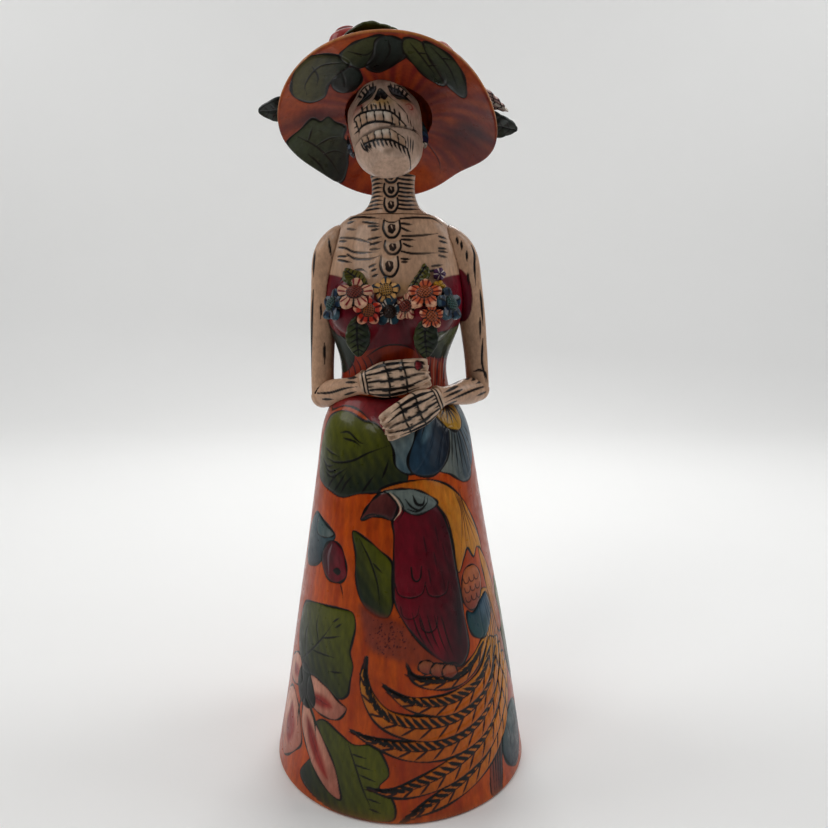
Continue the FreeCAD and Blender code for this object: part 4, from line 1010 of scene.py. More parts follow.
def paint_torso(skin):
    """The bodice cloth, and the bones drawn on the chest above it."""
    c = skin.flat((1, 0, 0), (0, 0, 1), FRONT)
    x, z = skin.verts[:, 0] + 4.4, skin.verts[:, 2]
    front = skin.normals[:, 1] < 0
    neckline = 333 + 7 * np.cos(np.clip(np.abs(x) / 44, 0, 1) * np.pi + np.pi) + np.where(front, 0, 8)
    skin.blend_ground(MAROON, ease((neckline - z) / 1.2 + 0.5))
    fold = ease(0.5 + 0.5 * np.sin(x * 0.31 + z * 0.09) * np.sin(x * 0.12 - z * 0.05))
    skin.blend_ground(DARK_MAROON, 0.5 * fold * (z < neckline))
    belt = 296 - 7 * (np.abs(x + 1) / 22) ** 1.6
    belly = ease((belt - z) / 0.8 + 0.5)
    skin.blend_ground(RED_ORANGE, belly)
    skin.blend_ground(DEEP_ORANGE, 0.6 * belly * ease(0.5 + np.sin(x * 0.4) * np.sin(z * 0.17)))
    c.stroke([(-22, 288), (-13, 294), (-5, 296), (4, 295), (12, 290)], 0.5)
    c.area([(-50, 312), (-46, 306), (-41, 301), (-36, 300), (-31, 296), (-30, 286), (-34, 279), (-39, 276),
            (-46, 284), (-52, 300)], SLATE_GREEN, DARK_GREEN, (0, -1), ink=0.5)
    c.area([(18, 301), (24, 304), (32, 305), (42, 308), (44, 300), (38, 290), (32, 286), (22, 287),
            (16, 292)],
           shade(84, 88, 58), DARK_GREEN, (-0.5, -1), ink=0.5)
    c.area([(10, 294), (13, 300), (18, 301), (19, 290), (14, 286)], shade(120, 90, 26), RED_ORANGE, (0, -1),
           ink=0.3)
    for k in range(7):
        c.stroke([(17 + 2.6 * k, 287), (16.6 + 2.5 * k, 280), (17 + 2.3 * k, 272), (16 + 2.4 * k, 265)],
                 0.5, 0.5, 0.2, DARK_MAROON if k % 2 else shade(150, 90, 70))
    for k in range(5):
        c.stroke([(-37 + 4 * k, 284 + 1.2 * k), (-34 + 4 * k, 279 + k), (-33 + 4 * k, 272)], 0.45, 0.5, 0.2,
                 DARK_MAROON)
    for line in RIBS:
        c.stroke(line, 0.8, 0.8, 0.2)
    vertebra(c, -5.6, 368.2, 4.9, 5.4)
    vertebra(c, -4.9, 356.6, 4.7, 4.2)
    vertebra(c, -7.0, 344.6, 5.2, 6.2)
    c.stroke([(-10.6, 375), (-8.4, 372.8), (-3.4, 372.6), (-0.6, 374.6)], 0.5)
    for spot in ((-15, 352), (18, 350), (-28, 366), (14, 369)):
        c.wash(spot, (10, 6), PALE_BONE, 0.25)
    c.wash((-5, 331), (14, 5), shade(176, 132, 70), 0.7)
    paint_torso_back(skin)


def paint_torso_back(skin):
    """Shoulder blades, a spine and the back of the dress, with its lacing."""
    c = skin.flat((1, 0, 0), (0, 0, 1), REAR)
    for k in range(4):
        vertebra(c, -4.6, 371 - 9.5 * k, 4.2, 4.2)
    for k in range(5):
        for side in (-1, 1):
            z = 369 - 6.4 * k
            c.stroke([(-4.6 + side * 6, z), (-4.6 + side * 16, z + 1.5), (-4.6 + side * (28 + k), z - 1)],
                     0.55, 0.8, 0.15)
    for side in (-1, 1):
        c.stroke([(-4.6 + side * 12, 366), (-4.6 + side * 30, 362), (-4.6 + side * 24, 346),
                  (-4.6 + side * 12, 352), (-4.6 + side * 12, 366)], 0.6)
    c.stroke([(-48, 334), (-30, 341), (-4, 338), (22, 341), (40, 334)], 0.7)
    for k in range(8):
        z = 332 - 7.4 * k
        c.stroke([(-9, z), (0, z - 6)], 0.6, 0.9, 0.9, shade(170, 120, 40))
        c.stroke([(0, z), (-9, z - 6)], 0.6, 0.9, 0.9, shade(170, 120, 40))
    for side in (-1, 1):
        leaf_between(c, (-4.6 + side * 14, 284), (-4.6 + side * 30, 322), 8)
        leaf_between(c, (-4.6 + side * 12, 280), (-4.6 + side * 36, 284), 5)
    c.stroke([(-40, 276), (-20, 272), (-4, 271), (12, 272), (32, 276)], 0.7)


def make_bodice():
    """The bodice's skin, wrapped round its axis."""
    heights = np.linspace(*BODICE_SPAN, 58)
    grid = calm(refined(radii("bodice_shell", BODICE_AXIS, heights, 120), 4, 1, True), 3)
    grid = calm(refined(grid, 4, 0, False), 3)
    fine = np.interp(np.linspace(0, 57, len(grid)), np.arange(58), heights)
    skin = tube(BODICE_AXIS, fine, grid, BONE)
    paint_torso(skin)
    skin.finish("bodice_skin", "bodice_paint", ["bodice_shell"], LACQUER)


def make_neck():
    """The neck's skin, wrapped round its axis."""
    heights = np.linspace(*NECK_SPAN, 16)
    grid = calm(refined(radii("neck", NECK_AXIS, heights, 72), 4, 1, True), 2)
    grid = refined(grid, 4, 0, False)
    fine = np.interp(np.linspace(0, 15, len(grid)), np.arange(16), heights)
    skin = tube(NECK_AXIS, fine, grid, BONE)
    for facing in (FRONT, REAR):
        c = skin.flat((1, 0, 0), (0, 0, 1), facing)
        for x, z, wide, tall in ((-6.0, 401, 4.0, 3.8), (-6.0, 392.6, 4.2, 4.0), (-6.0, 383.4, 4.0, 4.4)):
            vertebra(c, x, z, wide, tall)
        for k in range(9):
            z = 402 - 2.6 * k
            flare = 0.16 * max(0, k - 4) ** 2
            c.stroke([(-19.5 - flare, z - 0.4), (-15, z + 0.3), (-11.4, z)], 0.75, 0.9, 0.3)
            c.stroke([(-1.2, z + 0.2), (3.5, z - 0.2), (9.6 + flare, z + 0.3)], 0.75, 0.9, 0.3)
    skin.finish("neck_skin", "bone_paint", ["neck"], BONE_LACQUER)


UPPER_RIGHT = [
    [(-46.4, 362.8), (-45.8, 357), (-44.4, 350)], [(-56, 355), (-57, 346), (-57.4, 338)],
    [(-52.4, 321), (-52.8, 311)], [(-50.7, 295), (-50.8, 281)], [(-57.6, 330), (-59, 312), (-60, 292),
                                                                 (-60.4, 272)],
    [(-54, 266), (-57, 262), (-59.5, 258)], [(-50, 268), (-53, 264), (-57, 259)],
]
UPPER_LEFT = [
    [(36.4, 364), (37.2, 358.4)], [(39.4, 361.4), (39.8, 355)], [(43, 355), (43.2, 348)],
    [(46.4, 359), (48.4, 353), (48.4, 345), (49.4, 333)], [(44, 341), (44.6, 333)],
    [(52.6, 330), (54, 318), (55, 306)], [(52.8, 312), (53.2, 298)],
    [(55, 298), (54.6, 284), (56, 276), (58, 268)], [(58.2, 306), (59.4, 290), (59.6, 276)],
    [(49, 276), (53, 277), (57, 275), (59, 268)],
]
FOREARM = {
    "right": [[(-56, 261.5), (-46, 263.5), (-36, 267.5), (-27, 270)], [(-34, 274), (-27, 276)],
              [(-35, 271.4), (-27, 273)], [(-36, 263), (-28, 266.4)], [(-34, 260), (-27, 263)],
              [(-32, 277), (-26, 279)], [(-52, 258), (-44, 259)]],
    "left": [[(57, 266), (48, 265), (38, 262.6), (27, 259.6)], [(40, 266.4), (27, 263.4)],
             [(37, 268.6), (27, 266.4)], [(36, 259.4), (27, 256.6)], [(38, 271), (30, 270)],
             [(51, 272), (47, 270.6)], [(47, 273), (43, 271.4)], [(57, 270), (50, 268.6)],
             [(57.6, 262), (50, 260.4)], [(34, 257), (27, 254)]],
}


def make_arms():
    """The skins of both upper arms and forearms."""
    for side, lines, sign in (("right", UPPER_RIGHT, -1), ("left", UPPER_LEFT, 1)):
        node = f"upper_arm_{side}"
        verts, faces = remeshed(node, 0.7, 5)
        skin = Skin(verts, faces, BONE)
        c = skin.flat((1, 0, 0), (0, 0, 1), FRONT)
        if side == "left":
            c.area([(37, 343), (42, 341), (46, 334), (47.4, 323), (45.6, 313), (41, 309), (35, 314),
                    (33, 330)],
                   MAROON, shade(84, 10, 26), (1, -0.3), ink=0.0)
        else:
            skin.blend_ground(MAROON,
                              0.7 * ease((verts[:, 0] + 47.5) / 3) * (verts[:, 2] < 330)
                              * (verts[:, 2] > 262))
        for line in lines:
            c.stroke(line, 0.85, 0.4, 0.2)
        back = skin.flat((1, 0, 0), (0, 0, 1), REAR)
        middle = 49 * sign
        for k in range(4):
            top = 352 - 22 * k
            back.stroke([(middle + 2 * sign * k - 3, top), (middle + 2 * sign * k - 3.4, top - 9),
                         (middle + 2 * sign * k - 3, top - 18)], 0.6, 0.3, 0.2)
            back.stroke([(middle + sign * k + 3, top + 5), (middle + sign * k + 3.4, top - 10)], 0.5, 0.3,
                        0.2)
        skin.finish(f"{node}_skin", "bone_paint", [node], BONE_LACQUER)

        node = f"forearm_{side}"
        verts, faces = remeshed(node, 0.6, 5)
        skin = Skin(verts, faces, BONE)
        c = skin.flat((1, 0, 0), (0, 0, 1))
        for line in FOREARM[side]:
            c.stroke(line, 0.85, 0.6, 0.2)
        skin.finish(f"{node}_skin", "bone_paint", [node], BONE_LACQUER)


# ------------------------------------------------------------------ hands
HANDS = {
    "right": ((-24.5, -34.0, 271.8), (17.0, -42.4, 279.6), 1),
    "left": ((24.5, -38.0, 263.6), (-9.5, -55.4, 246.8), -1),
}
# Girth of a hand: share of its length, half height, half thickness.
HAND_GIRTH = [(0.0, 6.6, 5.4), (0.08, 7.6, 5.6), (0.2, 9.8, 5.8), (0.36, 11.4, 5.8), (0.55, 11.2, 5.2),
              (0.75, 10.6, 4.7), (0.9, 9.8, 4.2), (0.97, 9.0, 3.3), (1.0, 8.0, 1.4)]
KNUCKLES = (0.42, 0.68)


def make_hands():
    """Each hand is one flat paper mitten. Its fingers are low ridges with inked grooves between them."""
    for side, (wrist, tips, sign) in HANDS.items():
        wrist, tips = np.array(wrist), np.array(tips)
        length = np.linalg.norm(tips - wrist)
        way = (tips - wrist) / length
        up = np.array([0, 0, 1.0]) - way[2] * way
        up /= np.linalg.norm(up)
        out = np.cross(way, up) * sign
        girth = refined(np.array(HAND_GIRTH), 12, 0, False)
        columns = 120
        turn = np.linspace(0, 2 * np.pi, columns, endpoint=False)
        round_up, round_out = np.cos(turn), np.sin(turn)
        fat_up = np.sign(round_up) * np.abs(round_up) ** 0.82
        fat_out = np.sign(round_out) * np.abs(round_out) ** 0.82
        share = girth[:, :1]
        across = girth[:, 1:2] * fat_up
        bulge = 3.0 * (1 - share) * np.sin(np.pi * np.clip(share / 0.9, 0, 1))
        fingers = np.cos(across / (girth[:, 1:2] + 0.1) * 3.98 * np.pi) * ease((share - 0.1) / 0.15)
        joints = sum(np.exp(-(((share - k) / 0.035) ** 2)) for k in KNUCKLES)
        depth = girth[:, 2:3] * fat_out
        ridges = 0.55 * fingers + 0.45 * joints * (share < 0.9)
        lift = np.where(fat_out > 0, 1, 0.4) * np.abs(fat_out) * ridges
        stretch = share * length + 2.0 * (fingers - 0.4) * ease((share - 0.82) / 0.18)
        points = (wrist + stretch[..., None] * way + across[..., None] * up
                  + (depth + lift * np.sign(fat_out) + 0.25 * bulge)[..., None] * out)
        rows = len(girth)
        verts = np.vstack([points.reshape(-1, 3), wrist, tips])
        quads = grid_faces(rows, columns)
        wrist_cap = [(rows * columns, (j + 1) % columns, j) for j in range(columns)]
        last = (rows - 1) * columns
        tip_cap = [(rows * columns + 1, last + j, last + (j + 1) % columns) for j in range(columns)]
        faces = [tuple(q) for q in (quads if sign > 0 else quads[:, ::-1])]
        caps = wrist_cap + tip_cap
        faces += caps if sign > 0 else [c[::-1] for c in caps]
        skin = Skin(verts, faces, PALE_BONE)
        along = (verts - wrist) @ way
        height = (verts - wrist) @ up
        c = Chart(skin, np.stack([along, height], 1))
        paint_hand(c, skin, length, sign)
        skin.finish(f"hand_{side}_skin", "bone_paint", [f"hand_{side}"], BONE_LACQUER)


def paint_hand(c, skin, length, sign):
    """Wrist lines, joints and fingers in ink, and a red mark near the right hand's tips."""
    skin.blend_ground(GREY_BONE, 0.35 * ease(0.5 + 0.5 * np.sin(c.p[:, 0] * 0.7) * np.sin(c.p[:, 1] * 0.9)))
    for x in (0.03, 0.085):
        c.stroke([(x * length, -12), (x * length + 1.2, 0), (x * length, 12)], 0.62, 0.9, 0.9)
    for share, lean in zip(KNUCKLES, (1.5, 1.0)):
        c.stroke([(share * length - lean, -13), (share * length + lean, 0), (share * length - lean, 13)],
                 0.7, 0.9, 0.9)
    for k in (-1, 0, 1):
        line = [(t * length,
                 k * 5.4 * (0.62 + 0.5 * math.sin(math.pi * min(t, 0.98))) + 0.5 * math.sin(9 * t + k))
                for t in (0.14, 0.3, 0.5, 0.7, 0.86, 0.97)]
        c.stroke(line, 0.95, 0.6, 0.5)
        for t in KNUCKLES:
            c.stroke([((t - 0.1) * length, line[2][1] - 0.3), (t * length, line[2][1]),
                      ((t + 0.11) * length, line[2][1])],
                     1.15, 0.3, 0.3)
    for k in (-9.6, 9.4):
        c.stroke([(0.14 * length, 0.8 * k), (0.36 * length, k), (0.6 * length, 0.98 * k),
                  (0.85 * length, 0.82 * k)], 1.0)
    for k in range(7):
        v = -8.4 + 2.8 * k
        c.stroke([(0.11 * length, 0.85 * v), (0.2 * length, v)], 0.5, 0.9, 0.2)
        c.stroke([(0.44 * length, v + 1.2), (0.52 * length, v + 1.1)], 0.42, 0.9, 0.1)
        c.stroke([(0.66 * length, v + 1.2), (0.60 * length, v + 1.1)], 0.42, 0.9, 0.1)
    if sign > 0:
        c.area([(0.86 * length, 3.2), (0.94 * length, 3.6), (0.96 * length, 7.0), (0.86 * length, 8.4)],
               shade(130, 12, 22), DARK_MAROON, (1, 0), ink=0.4, rise=0.4)


# ------------------------------------------------------------------ head
def turned_frame(place, pitch, yaw, roll):
    """The matrix of a tilted frame, in millimetres. Its local +Z is the crown and -Y the face."""
    turn = Matrix.Rotation(math.radians(yaw), 4, "Z") @ Matrix.Rotation(math.radians(pitch), 4, "X")
    return Matrix.Translation(Vector(place)) @ turn @ Matrix.Rotation(math.radians(roll), 4, "Y")


HEAD = turned_frame((-10.3, 0.0, 438.0), -33.0, -4.0, -9.0)
HAT = turned_frame((-7.5, 5.3, 441.9), -32.5, -3.0, 1.5)


def moved(points, matrix):
    """Points in millimetres, turned and shifted by a matrix."""
    m = np.array(matrix)
    return points @ m[:3, :3].T + m[:3, 3]


def local_chart(skin, matrix, axes=(0, 2), facing=(0, -1, 0), limit=0.1):
    """A chart across a tilted frame's axes, for the side of the skin that faces a local way."""
    m = np.array(matrix.inverted())
    places = moved(skin.verts, matrix.inverted())
    covers = skin.normals @ m[:3, :3].T @ np.asarray(facing, float) > limit
    return Chart(skin, places[:, list(axes)], covers)


def dent(points, middle, radii_, depth, power=2.0):
    """A soft round hollow, or a bump when depth is negative."""
    gap = np.linalg.norm((points - np.asarray(middle, float)) / np.asarray(radii_, float), axis=1)
    return -depth * np.exp(-(gap**power))


def skull_grid():
    """Radii of the skull round its own upright axis, with the holes of the CAD part filled in."""
    local = HEAD.inverted()
    mesh = NODES["skull"].data
    verts = [local @ (v.co / MM) for v in mesh.vertices]
    tree = BVHTree.FromPolygons(verts, [list(poly.vertices) for poly in mesh.polygons])
    heights = np.concatenate([np.linspace(MOUTH + 0.3, 14, 42), 25.3 * np.sin(np.linspace(0.62, 1.5, 12))])
    grid = np.zeros((len(heights), 96))
    for i, z in enumerate(heights):
        for j in range(96):
            turn = 2 * math.pi * j / 96
            way = Vector((math.sin(turn), -math.cos(turn), 0))
            hit = tree.ray_cast(Vector((0, 0, z)) + way * 60, -way)[0]
            grid[i, j] = math.hypot(hit.x, hit.y) if hit else np.nan
    for row in grid:
        gone = np.isnan(row)
        if gone.any():
            row[gone] = np.nanmean(row) if (~gone).any() else 4.0
    for _ in range(140):
        wide = (np.roll(grid, 2, 1) + np.roll(grid, -2, 1)) / 2
        tall = np.vstack([grid[:1], (grid[:-2] + grid[2:]) / 2, grid[-1:]])
        grid = np.maximum(grid, np.minimum(wide, tall + 0.02) * (np.abs(heights) < 22)[:, None])
    return heights, calm(grid, 2)


MOUTH = -25.0
SLIM = 0.91  # the painted face is this share of its CAD blank's width
EYES = ((-9.4, -2.6), (11.0, -4.6))
UPPER_GUM = [(-18.5, -12), (-15, -12.6), (-11, -13.8), (-6, -15.2), (-1, -16.4), (4, -18), (8, -21),
             (12, -25)]
UPPER_BITE = [(-18.4, -19), (-15, -20), (-11, -20.6), (-6, -21.6), (-1, -22.8), (4, -24.6), (8, -27),
              (12, -29)]
LOWER_TOP = [(-16.4, -25.5), (-12.5, -26.8), (-8, -26.6), (-3.5, -26.8), (1.4, -27), (6, -30.6),
             (10.4, -33.5)]
LOWER_LOW = [(-15, -31.2), (-11.5, -31.8), (-7.5, -32.4), (-3, -33.6), (1.6, -34.8), (6, -37), (10, -38.6)]


def tooth(c, top_left, top_right, low_right, low_left, pale=PALE_BONE):
    """One tooth between its four corners."""
    corners = np.array([top_left, top_right, low_right, low_left], float)
    middle = corners.mean(0)
    ring = []
    for k in range(4):
        a, b = corners[k], corners[(k + 1) % 4]
        ring += [middle + 0.90 * (a - middle), middle + 0.96 * ((a + b) / 2 - middle)]
    c.area(ring, pale, BONE, (0, -1), ink=0.42, rise=0.75, soft=0.3)


def paint_face(skin, places):
    """Clouds of colour and the drawn lines on the front of the skull."""
    c = Chart(skin, places[:, [0, 2]], places[:, 1] < 2)
    c.wash((-15, -9), (6, 5), shade(150, 70, 66), 0.55)
    c.wash((15, -12), (6, 6), shade(160, 76, 66), 0.65)
    c.wash((-1, -11), (9, 4), shade(170, 128, 46), 0.75)
    c.wash((13, -8), (4, 4), shade(168, 130, 60), 0.5)
    c.wash((0, 10), (22, 9), GREY_BONE, 0.5)
    for (x, z), lean in zip(EYES, (1, -1)):
        lens = [(x - 6.6, z - 2.6 * lean), (x - 3, z + 2.2 - lean), (x + 1.5, z + 3),
                (x + 6, z + 1.6 * lean), (x + 2.8, z - 1.8), (x - 2, z - 3.2)]
        c.area(lens, shade(92, 88, 92), shade(70, 74, 62), (0, -1), ink=0.62, rise=-0.5)
        c.stroke([(x - 5, z - 1), (x, z + 0.4), (x + 4.6, z)], 0.4)
        c.stroke([(x - 3, z - 2.4), (x + 1, z - 1.4), (x + 4, z - 1)], 0.35, colour=shade(84, 92, 60))
        for k in range(5):
            c.stroke([(x - 4 + 2 * k, z + 2.2), (x - 5.4 + 2.6 * k, z + 5.6)], 0.6, 0.9, 0.2)
        c.stroke([(x - 7.5 * lean, z + 4), (x - 2 * lean, z + 5.8), (x + 4 * lean, z + 4.8)], 0.5)
    for lobe in (-1, 1):
        c.area([(-1.2, -4.6), (-1.2 + 2.4 * lobe, -5.2), (-1.2 + 3.9 * lobe, -8), (-1.2 + 2.6 * lobe, -9.8),
                (-1.2 + 0.7 * lobe, -8.6)], INK, shade(40, 28, 26), (0, -1), ink=0.45, rise=-0.9)
    c.stroke([(-6.4, -9.2), (-3.8, -5.4), (-1.2, -3.6), (1.6, -5.6), (5.2, -9.6), (8.2, -11.4)], 0.45)
    for x, z in ((-6, -11.4), (-2.4, -11.4), (0.6, -12.2), (2.6, -11.6)):
        c.stroke([(x, z), (x + 0.4, z - 1.2)], 0.42, 1, 0.6, shade(60, 46, 20))
    c.stroke([(-15, -12.4), (-11, -11), (-7, -9.4)], 0.35, colour=shade(96, 78, 40))
    c.stroke([(8, -12), (11, -15), (14, -18)], 0.4)
    for k in range(9):
        x = -13 + 2.7 * k
        gum = np.interp(x, [p[0] for p in UPPER_GUM], [p[1] for p in UPPER_GUM])
        c.stroke([(x, gum + 4.4 - 0.6 * (k % 2)), (x + 0.2, gum + 0.4)], 0.6, 0.3, 0.9)
    for k in range(len(UPPER_GUM) - 1):
        pale = WHITE if 1 < k < 5 else PALE_BONE
        tooth(c, UPPER_GUM[k], UPPER_GUM[k + 1], UPPER_BITE[k + 1], UPPER_BITE[k], pale)
    c.stroke(UPPER_GUM, 0.7, 0.8, 0.8)
    c.stroke(UPPER_BITE, 0.75, 0.8, 0.8)
    for k in range(3):
        c.stroke([(-19.4 - 0.8 * k, -12.5 - 2.5 * k), (-17.6, -15 - 2.4 * k), (-18.8, -20 - 1.5 * k)], 0.45)
        c.stroke([(13.4 + 1.8 * k, -17 - 2.4 * k), (13.8 + 1.6 * k, -22 - 1.5 * k)], 0.4, 0.3, 0.6)
    for k in range(3):
        c.stroke([(15.4, -25.4 - 0.6 * k), (18, -24.4 - 1.6 * k), (20.5, -23.6 - 2.6 * k)], 0.42, 0.8, 0.2)
    for x, z in ((15, -12), (-15, -8)):
        c.stroke([(x - 2, z), (x, z + 1.6), (x + 2, z), (x + 0.4, z - 1.6), (x - 0.6, z)], 0.35,
                 colour=shade(150, 60, 50))


def make_skull():
    """The skull's skin, from rays at the CAD skull."""
    heights, coarse = skull_grid()
    grid = refined(refined(coarse, 4, 1, True), 3, 0, False)
    fine = np.interp(np.linspace(0, len(heights) - 1, len(grid)), np.arange(len(heights)), heights)
    low = MOUTH - np.array([4.0, 3.0, 1.8, 0.5])
    grid = np.vstack([grid[:1] * 0.5, np.repeat(grid[:1] - 1.1, 4, 0), grid, grid[-1:] * 0.4])
    z = np.concatenate([[MOUTH - 4.2], low, fine, [25.45]])
    turn = np.linspace(0, 2 * np.pi, grid.shape[1], endpoint=False)
    tall = np.broadcast_to(z[:, None], grid.shape)
    local = np.stack([SLIM * grid * np.sin(turn), -grid * np.cos(turn), tall], -1).reshape(-1, 3)
    rows, columns = grid.shape
    skin = Skin(moved(local, HEAD), grid_faces(rows, columns), FACE_BONE)
    sculpt = np.zeros(len(local))
    for x, z_ in EYES:
        sculpt += dent(local, (x, -26, z_), (6.0, 9, 4.2), 2.4)
        sculpt += dent(local, (x * 1.02, -26, z_ + 6.5), (7.5, 9, 2.6), -0.9)
    sculpt += dent(local, (-1.2, -27, -7.4), (3.6, 9, 3.4), 1.2)
    sculpt += dent(local, (-1.0, -27, -1.0), (2.6, 8, 4.5), -0.8)
    for side in (-1, 1):
        sculpt += dent(local, (side * 17, -19, -10), (5, 8, 3.6), -1.5)
        sculpt += dent(local, (side * 19.5, -13, -20), (4, 8, 5), 1.6)
    sculpt += dent(local, (-3, -26, -19.5), (15, 9, 4.5), -0.8)
    skin.push(sculpt * (local[:, 2] > MOUTH + 0.1))
    skin.normals = skin.find_normals()
    skin.blend_ground(GREY_BONE, 0.12 + 0.12 * np.sin(local[:, 0] * 0.4) * np.sin(local[:, 2] * 0.3))
    paint_face(skin, local)
    skin.blend_ground(shade(96, 80, 68), 0.85 * (local[:, 2] < MOUTH + 0.1))
    skin.finish("skull_skin", "bone_paint", ["skull"], BONE_LACQUER)


def make_jaw():
    """The jaw's skin, with a dented chin."""
    verts, faces = remeshed("lower_jaw", 0.5, 10)
    verts = moved(moved(verts, HEAD.inverted()) * (SLIM, 1, 1), HEAD)
    skin = Skin(verts, faces, FACE_BONE)
    local = moved(skin.verts, HEAD.inverted())
    chin = dent(local, (0, -18, -42), (9, 10, 6), -0.8)
    skin.push(chin + dent(local, (-2, -25, -31), (14, 9, 4.5), -0.5))
    skin.normals = skin.find_normals()
    c = Chart(skin, moved(skin.verts, HEAD.inverted())[:, [0, 2]], local[:, 1] < 2)
    skin.blend_ground(GREY_BONE, 0.12 + 0.12 * np.sin(local[:, 0] * 0.4))
    for k in range(11):
        x = -14.4 + 2.5 * k
        low = np.interp(x, [p[0] for p in LOWER_LOW], [p[1] for p in LOWER_LOW])
        c.stroke([(x, low - 0.3), (x + 0.5, low - 2.6), (x + 1.4, low - 5.4 + 0.8 * (k % 2))], 0.7, 0.9,
                 0.2)
    for k in range(len(LOWER_TOP) - 1):
        pale = WHITE if k in (2, 3) else PALE_BONE
        tooth(c, LOWER_TOP[k], LOWER_TOP[k + 1], LOWER_LOW[k + 1], LOWER_LOW[k], pale)
    c.stroke(LOWER_LOW, 0.75, 0.8, 0.8)
    for k in range(3):
        c.stroke([(-17 + 1.2 * k, -28 - k), (-15.6 + 1.2 * k, -33), (-13 + k, -37)], 0.45, 0.3, 0.3)
        c.stroke([(12 + 1.6 * k, -31 - 0.6 * k), (11.6 + 1.4 * k, -36), (11 + 1.2 * k, -40)], 0.35, 0.3,
                 0.3)
    c.wash((-1, -41), (5, 2), shade(104, 84, 66), 0.6)
    skin.finish("lower_jaw_skin", "bone_paint", ["lower_jaw"], BONE_LACQUER)


# ------------------------------------------------------------------ hat
def hollows(skin, passes):
    """How deep each vertex sits below its smoothed surroundings, in millimetres. Ridges are negative."""
    faces = skin.faces
    smoothed = skin.verts.copy()
    pairs = np.vstack([faces[:, [0, 1]], faces[:, [1, 2]], faces[:, [2, 3]], faces[:, [3, 0]]])
    count = np.maximum(np.bincount(pairs.ravel(), minlength=len(smoothed)), 1)
    for _ in range(passes):
        total = np.zeros_like(smoothed)
        for axis in range(3):
            total[:, axis] = np.bincount(pairs[:, 0], smoothed[pairs[:, 1], axis],
                                         len(smoothed)) + np.bincount(
                pairs[:, 1], smoothed[pairs[:, 0], axis], len(smoothed))
        smoothed = total / count[:, None]
    return np.einsum("ij,ij->i", smoothed - skin.verts, skin.normals)


def own_axes(points):
    """Middle, long, cross and thin directions of a cloud of points."""
    middle = (points.min(0) + points.max(0)) / 2
    spread_out = np.linalg.eigh(np.cov((points - middle).T))[1]
    return middle, spread_out[:, 2], spread_out[:, 1], spread_out[:, 0]


def paint_under_brim(c):
    """The underside of the brim, which the front view shows, with painted shade beside the head."""
    # The darkest washes, beside the head, are painted shade under the brim; the orange ones are the hat's
    # paint.
    for middle, radius, tone, strength in (
        ((-58, -25), (16, 40), BRIM_ORANGE, 0.75), ((-20, -62), (30, 9), BRIM_ORANGE, 0.8),
        ((46, -44), (14, 18), BRIM_ORANGE, 0.6), ((20, 52), (34, 16), BRIM_ORANGE, 0.85),
        ((56, 26), (12, 16), BRIM_RED, 0.5), ((-14, 50), (16, 16), BRIM_ORANGE, 0.6),
        ((56, 2), (18, 10), BRIM_SHADE, 1.0), ((44, 14), (16, 16), BRIM_SHADE, 0.8),
        ((-48, -4), (22, 9), BRIM_SHADE, 0.9), ((26, -20), (14, 12), BRIM_SHADE, 0.6),
        ((40, 0), (5, 5), BRIM_ORANGE, 0.5), ((-36, -10), (9, 5), shade(150, 74, 60), 0.35),
    ):
        c.wash(middle, radius, tone, strength)
    leaves = [
        ([(-20, -46), (-28, -54), (-40, -56), (-50, -49), (-56, -36), (-56, -25), (-48, -17), (-39, -19),
          (-35, -29), (-28, -36)], shade(70, 66, 30), DARK_GREEN, (1, 0.2)),
        ([(-31, -34), (-33, -27), (-27, -21), (-18, -25), (-14, -34), (-18, -42), (-26, -39)], SLATE_GREEN,
         INK, (0, 1)),
        ([(-25, -51), (-19, -60), (-8, -66), (2, -67), (0, -56), (-6, -46), (-16, -41)], shade(60, 62, 36),
         DARK_GREEN, (0.6, 1)),
        ([(-3, -64), (5, -67), (13, -61), (13, -50), (4, -42), (-4, -37), (-11, -42), (-6, -52)],
         SLATE_GREEN, INK, (0, 1)),
        ([(13, -65), (22, -63), (30, -51), (37, -38), (35, -29), (26, -33), (18, -43), (12, -54)],
         shade(64, 66, 34), DARK_GREEN, (-0.3, 1)),
        ([(24, -63), (36, -57), (45, -46), (49, -32), (47, -23), (38, -29), (31, -42), (26, -52)],
         shade(52, 58, 36), SLATE_GREEN, (-0.5, 1)),
        ([(-67, 10), (-57, 3), (-49, -3), (-44, 1), (-39, -2), (-35, 3), (-29, 8), (-31, 17), (-27, 24),
          (-30, 33), (-31, 42), (-36, 53), (-46, 50), (-56, 38), (-63, 24)], shade(56, 66, 44),
         shade(24, 32, 30), (0.7, 0.5)),
    ]
    for outline, light, dark, way in leaves:
        c.area(outline, light, dark, way, ink=0.85, rise=0.4)
    for vein in ([(-24, -47), (-38, -46), (-48, -34), (-49, -24)], [(-42, -48), (-40, -38), (-42, -30)],
                 [(-26, -40), (-25, -31), (-26, -24)], [(-20, -56), (-10, -52), (-4, -58)],
                 [(4, -64), (4, -54), (-1, -44)], [(16, -62), (23, -50), (31, -36)], [(20, -54), (26, -54)],
                 [(25, -44), (32, -46)], [(28, -60), (38, -46), (44, -30)], [(34, -52), (40, -52)],
                 [(-60, 8), (-50, 20), (-42, 34), (-37, 48)], [(-50, 20), (-40, 16), (-33, 16)],
                 [(-46, 28), (-38, 27), (-33, 30)], [(-54, 14), (-50, 4)],
                 [(-56, 24), (-50, 34), (-46, 44)]):
        c.stroke(vein, 0.6)
    c.stroke([(22, 18), (32, 34), (34, 46)], 0.5, colour=BRIM_SHADE)


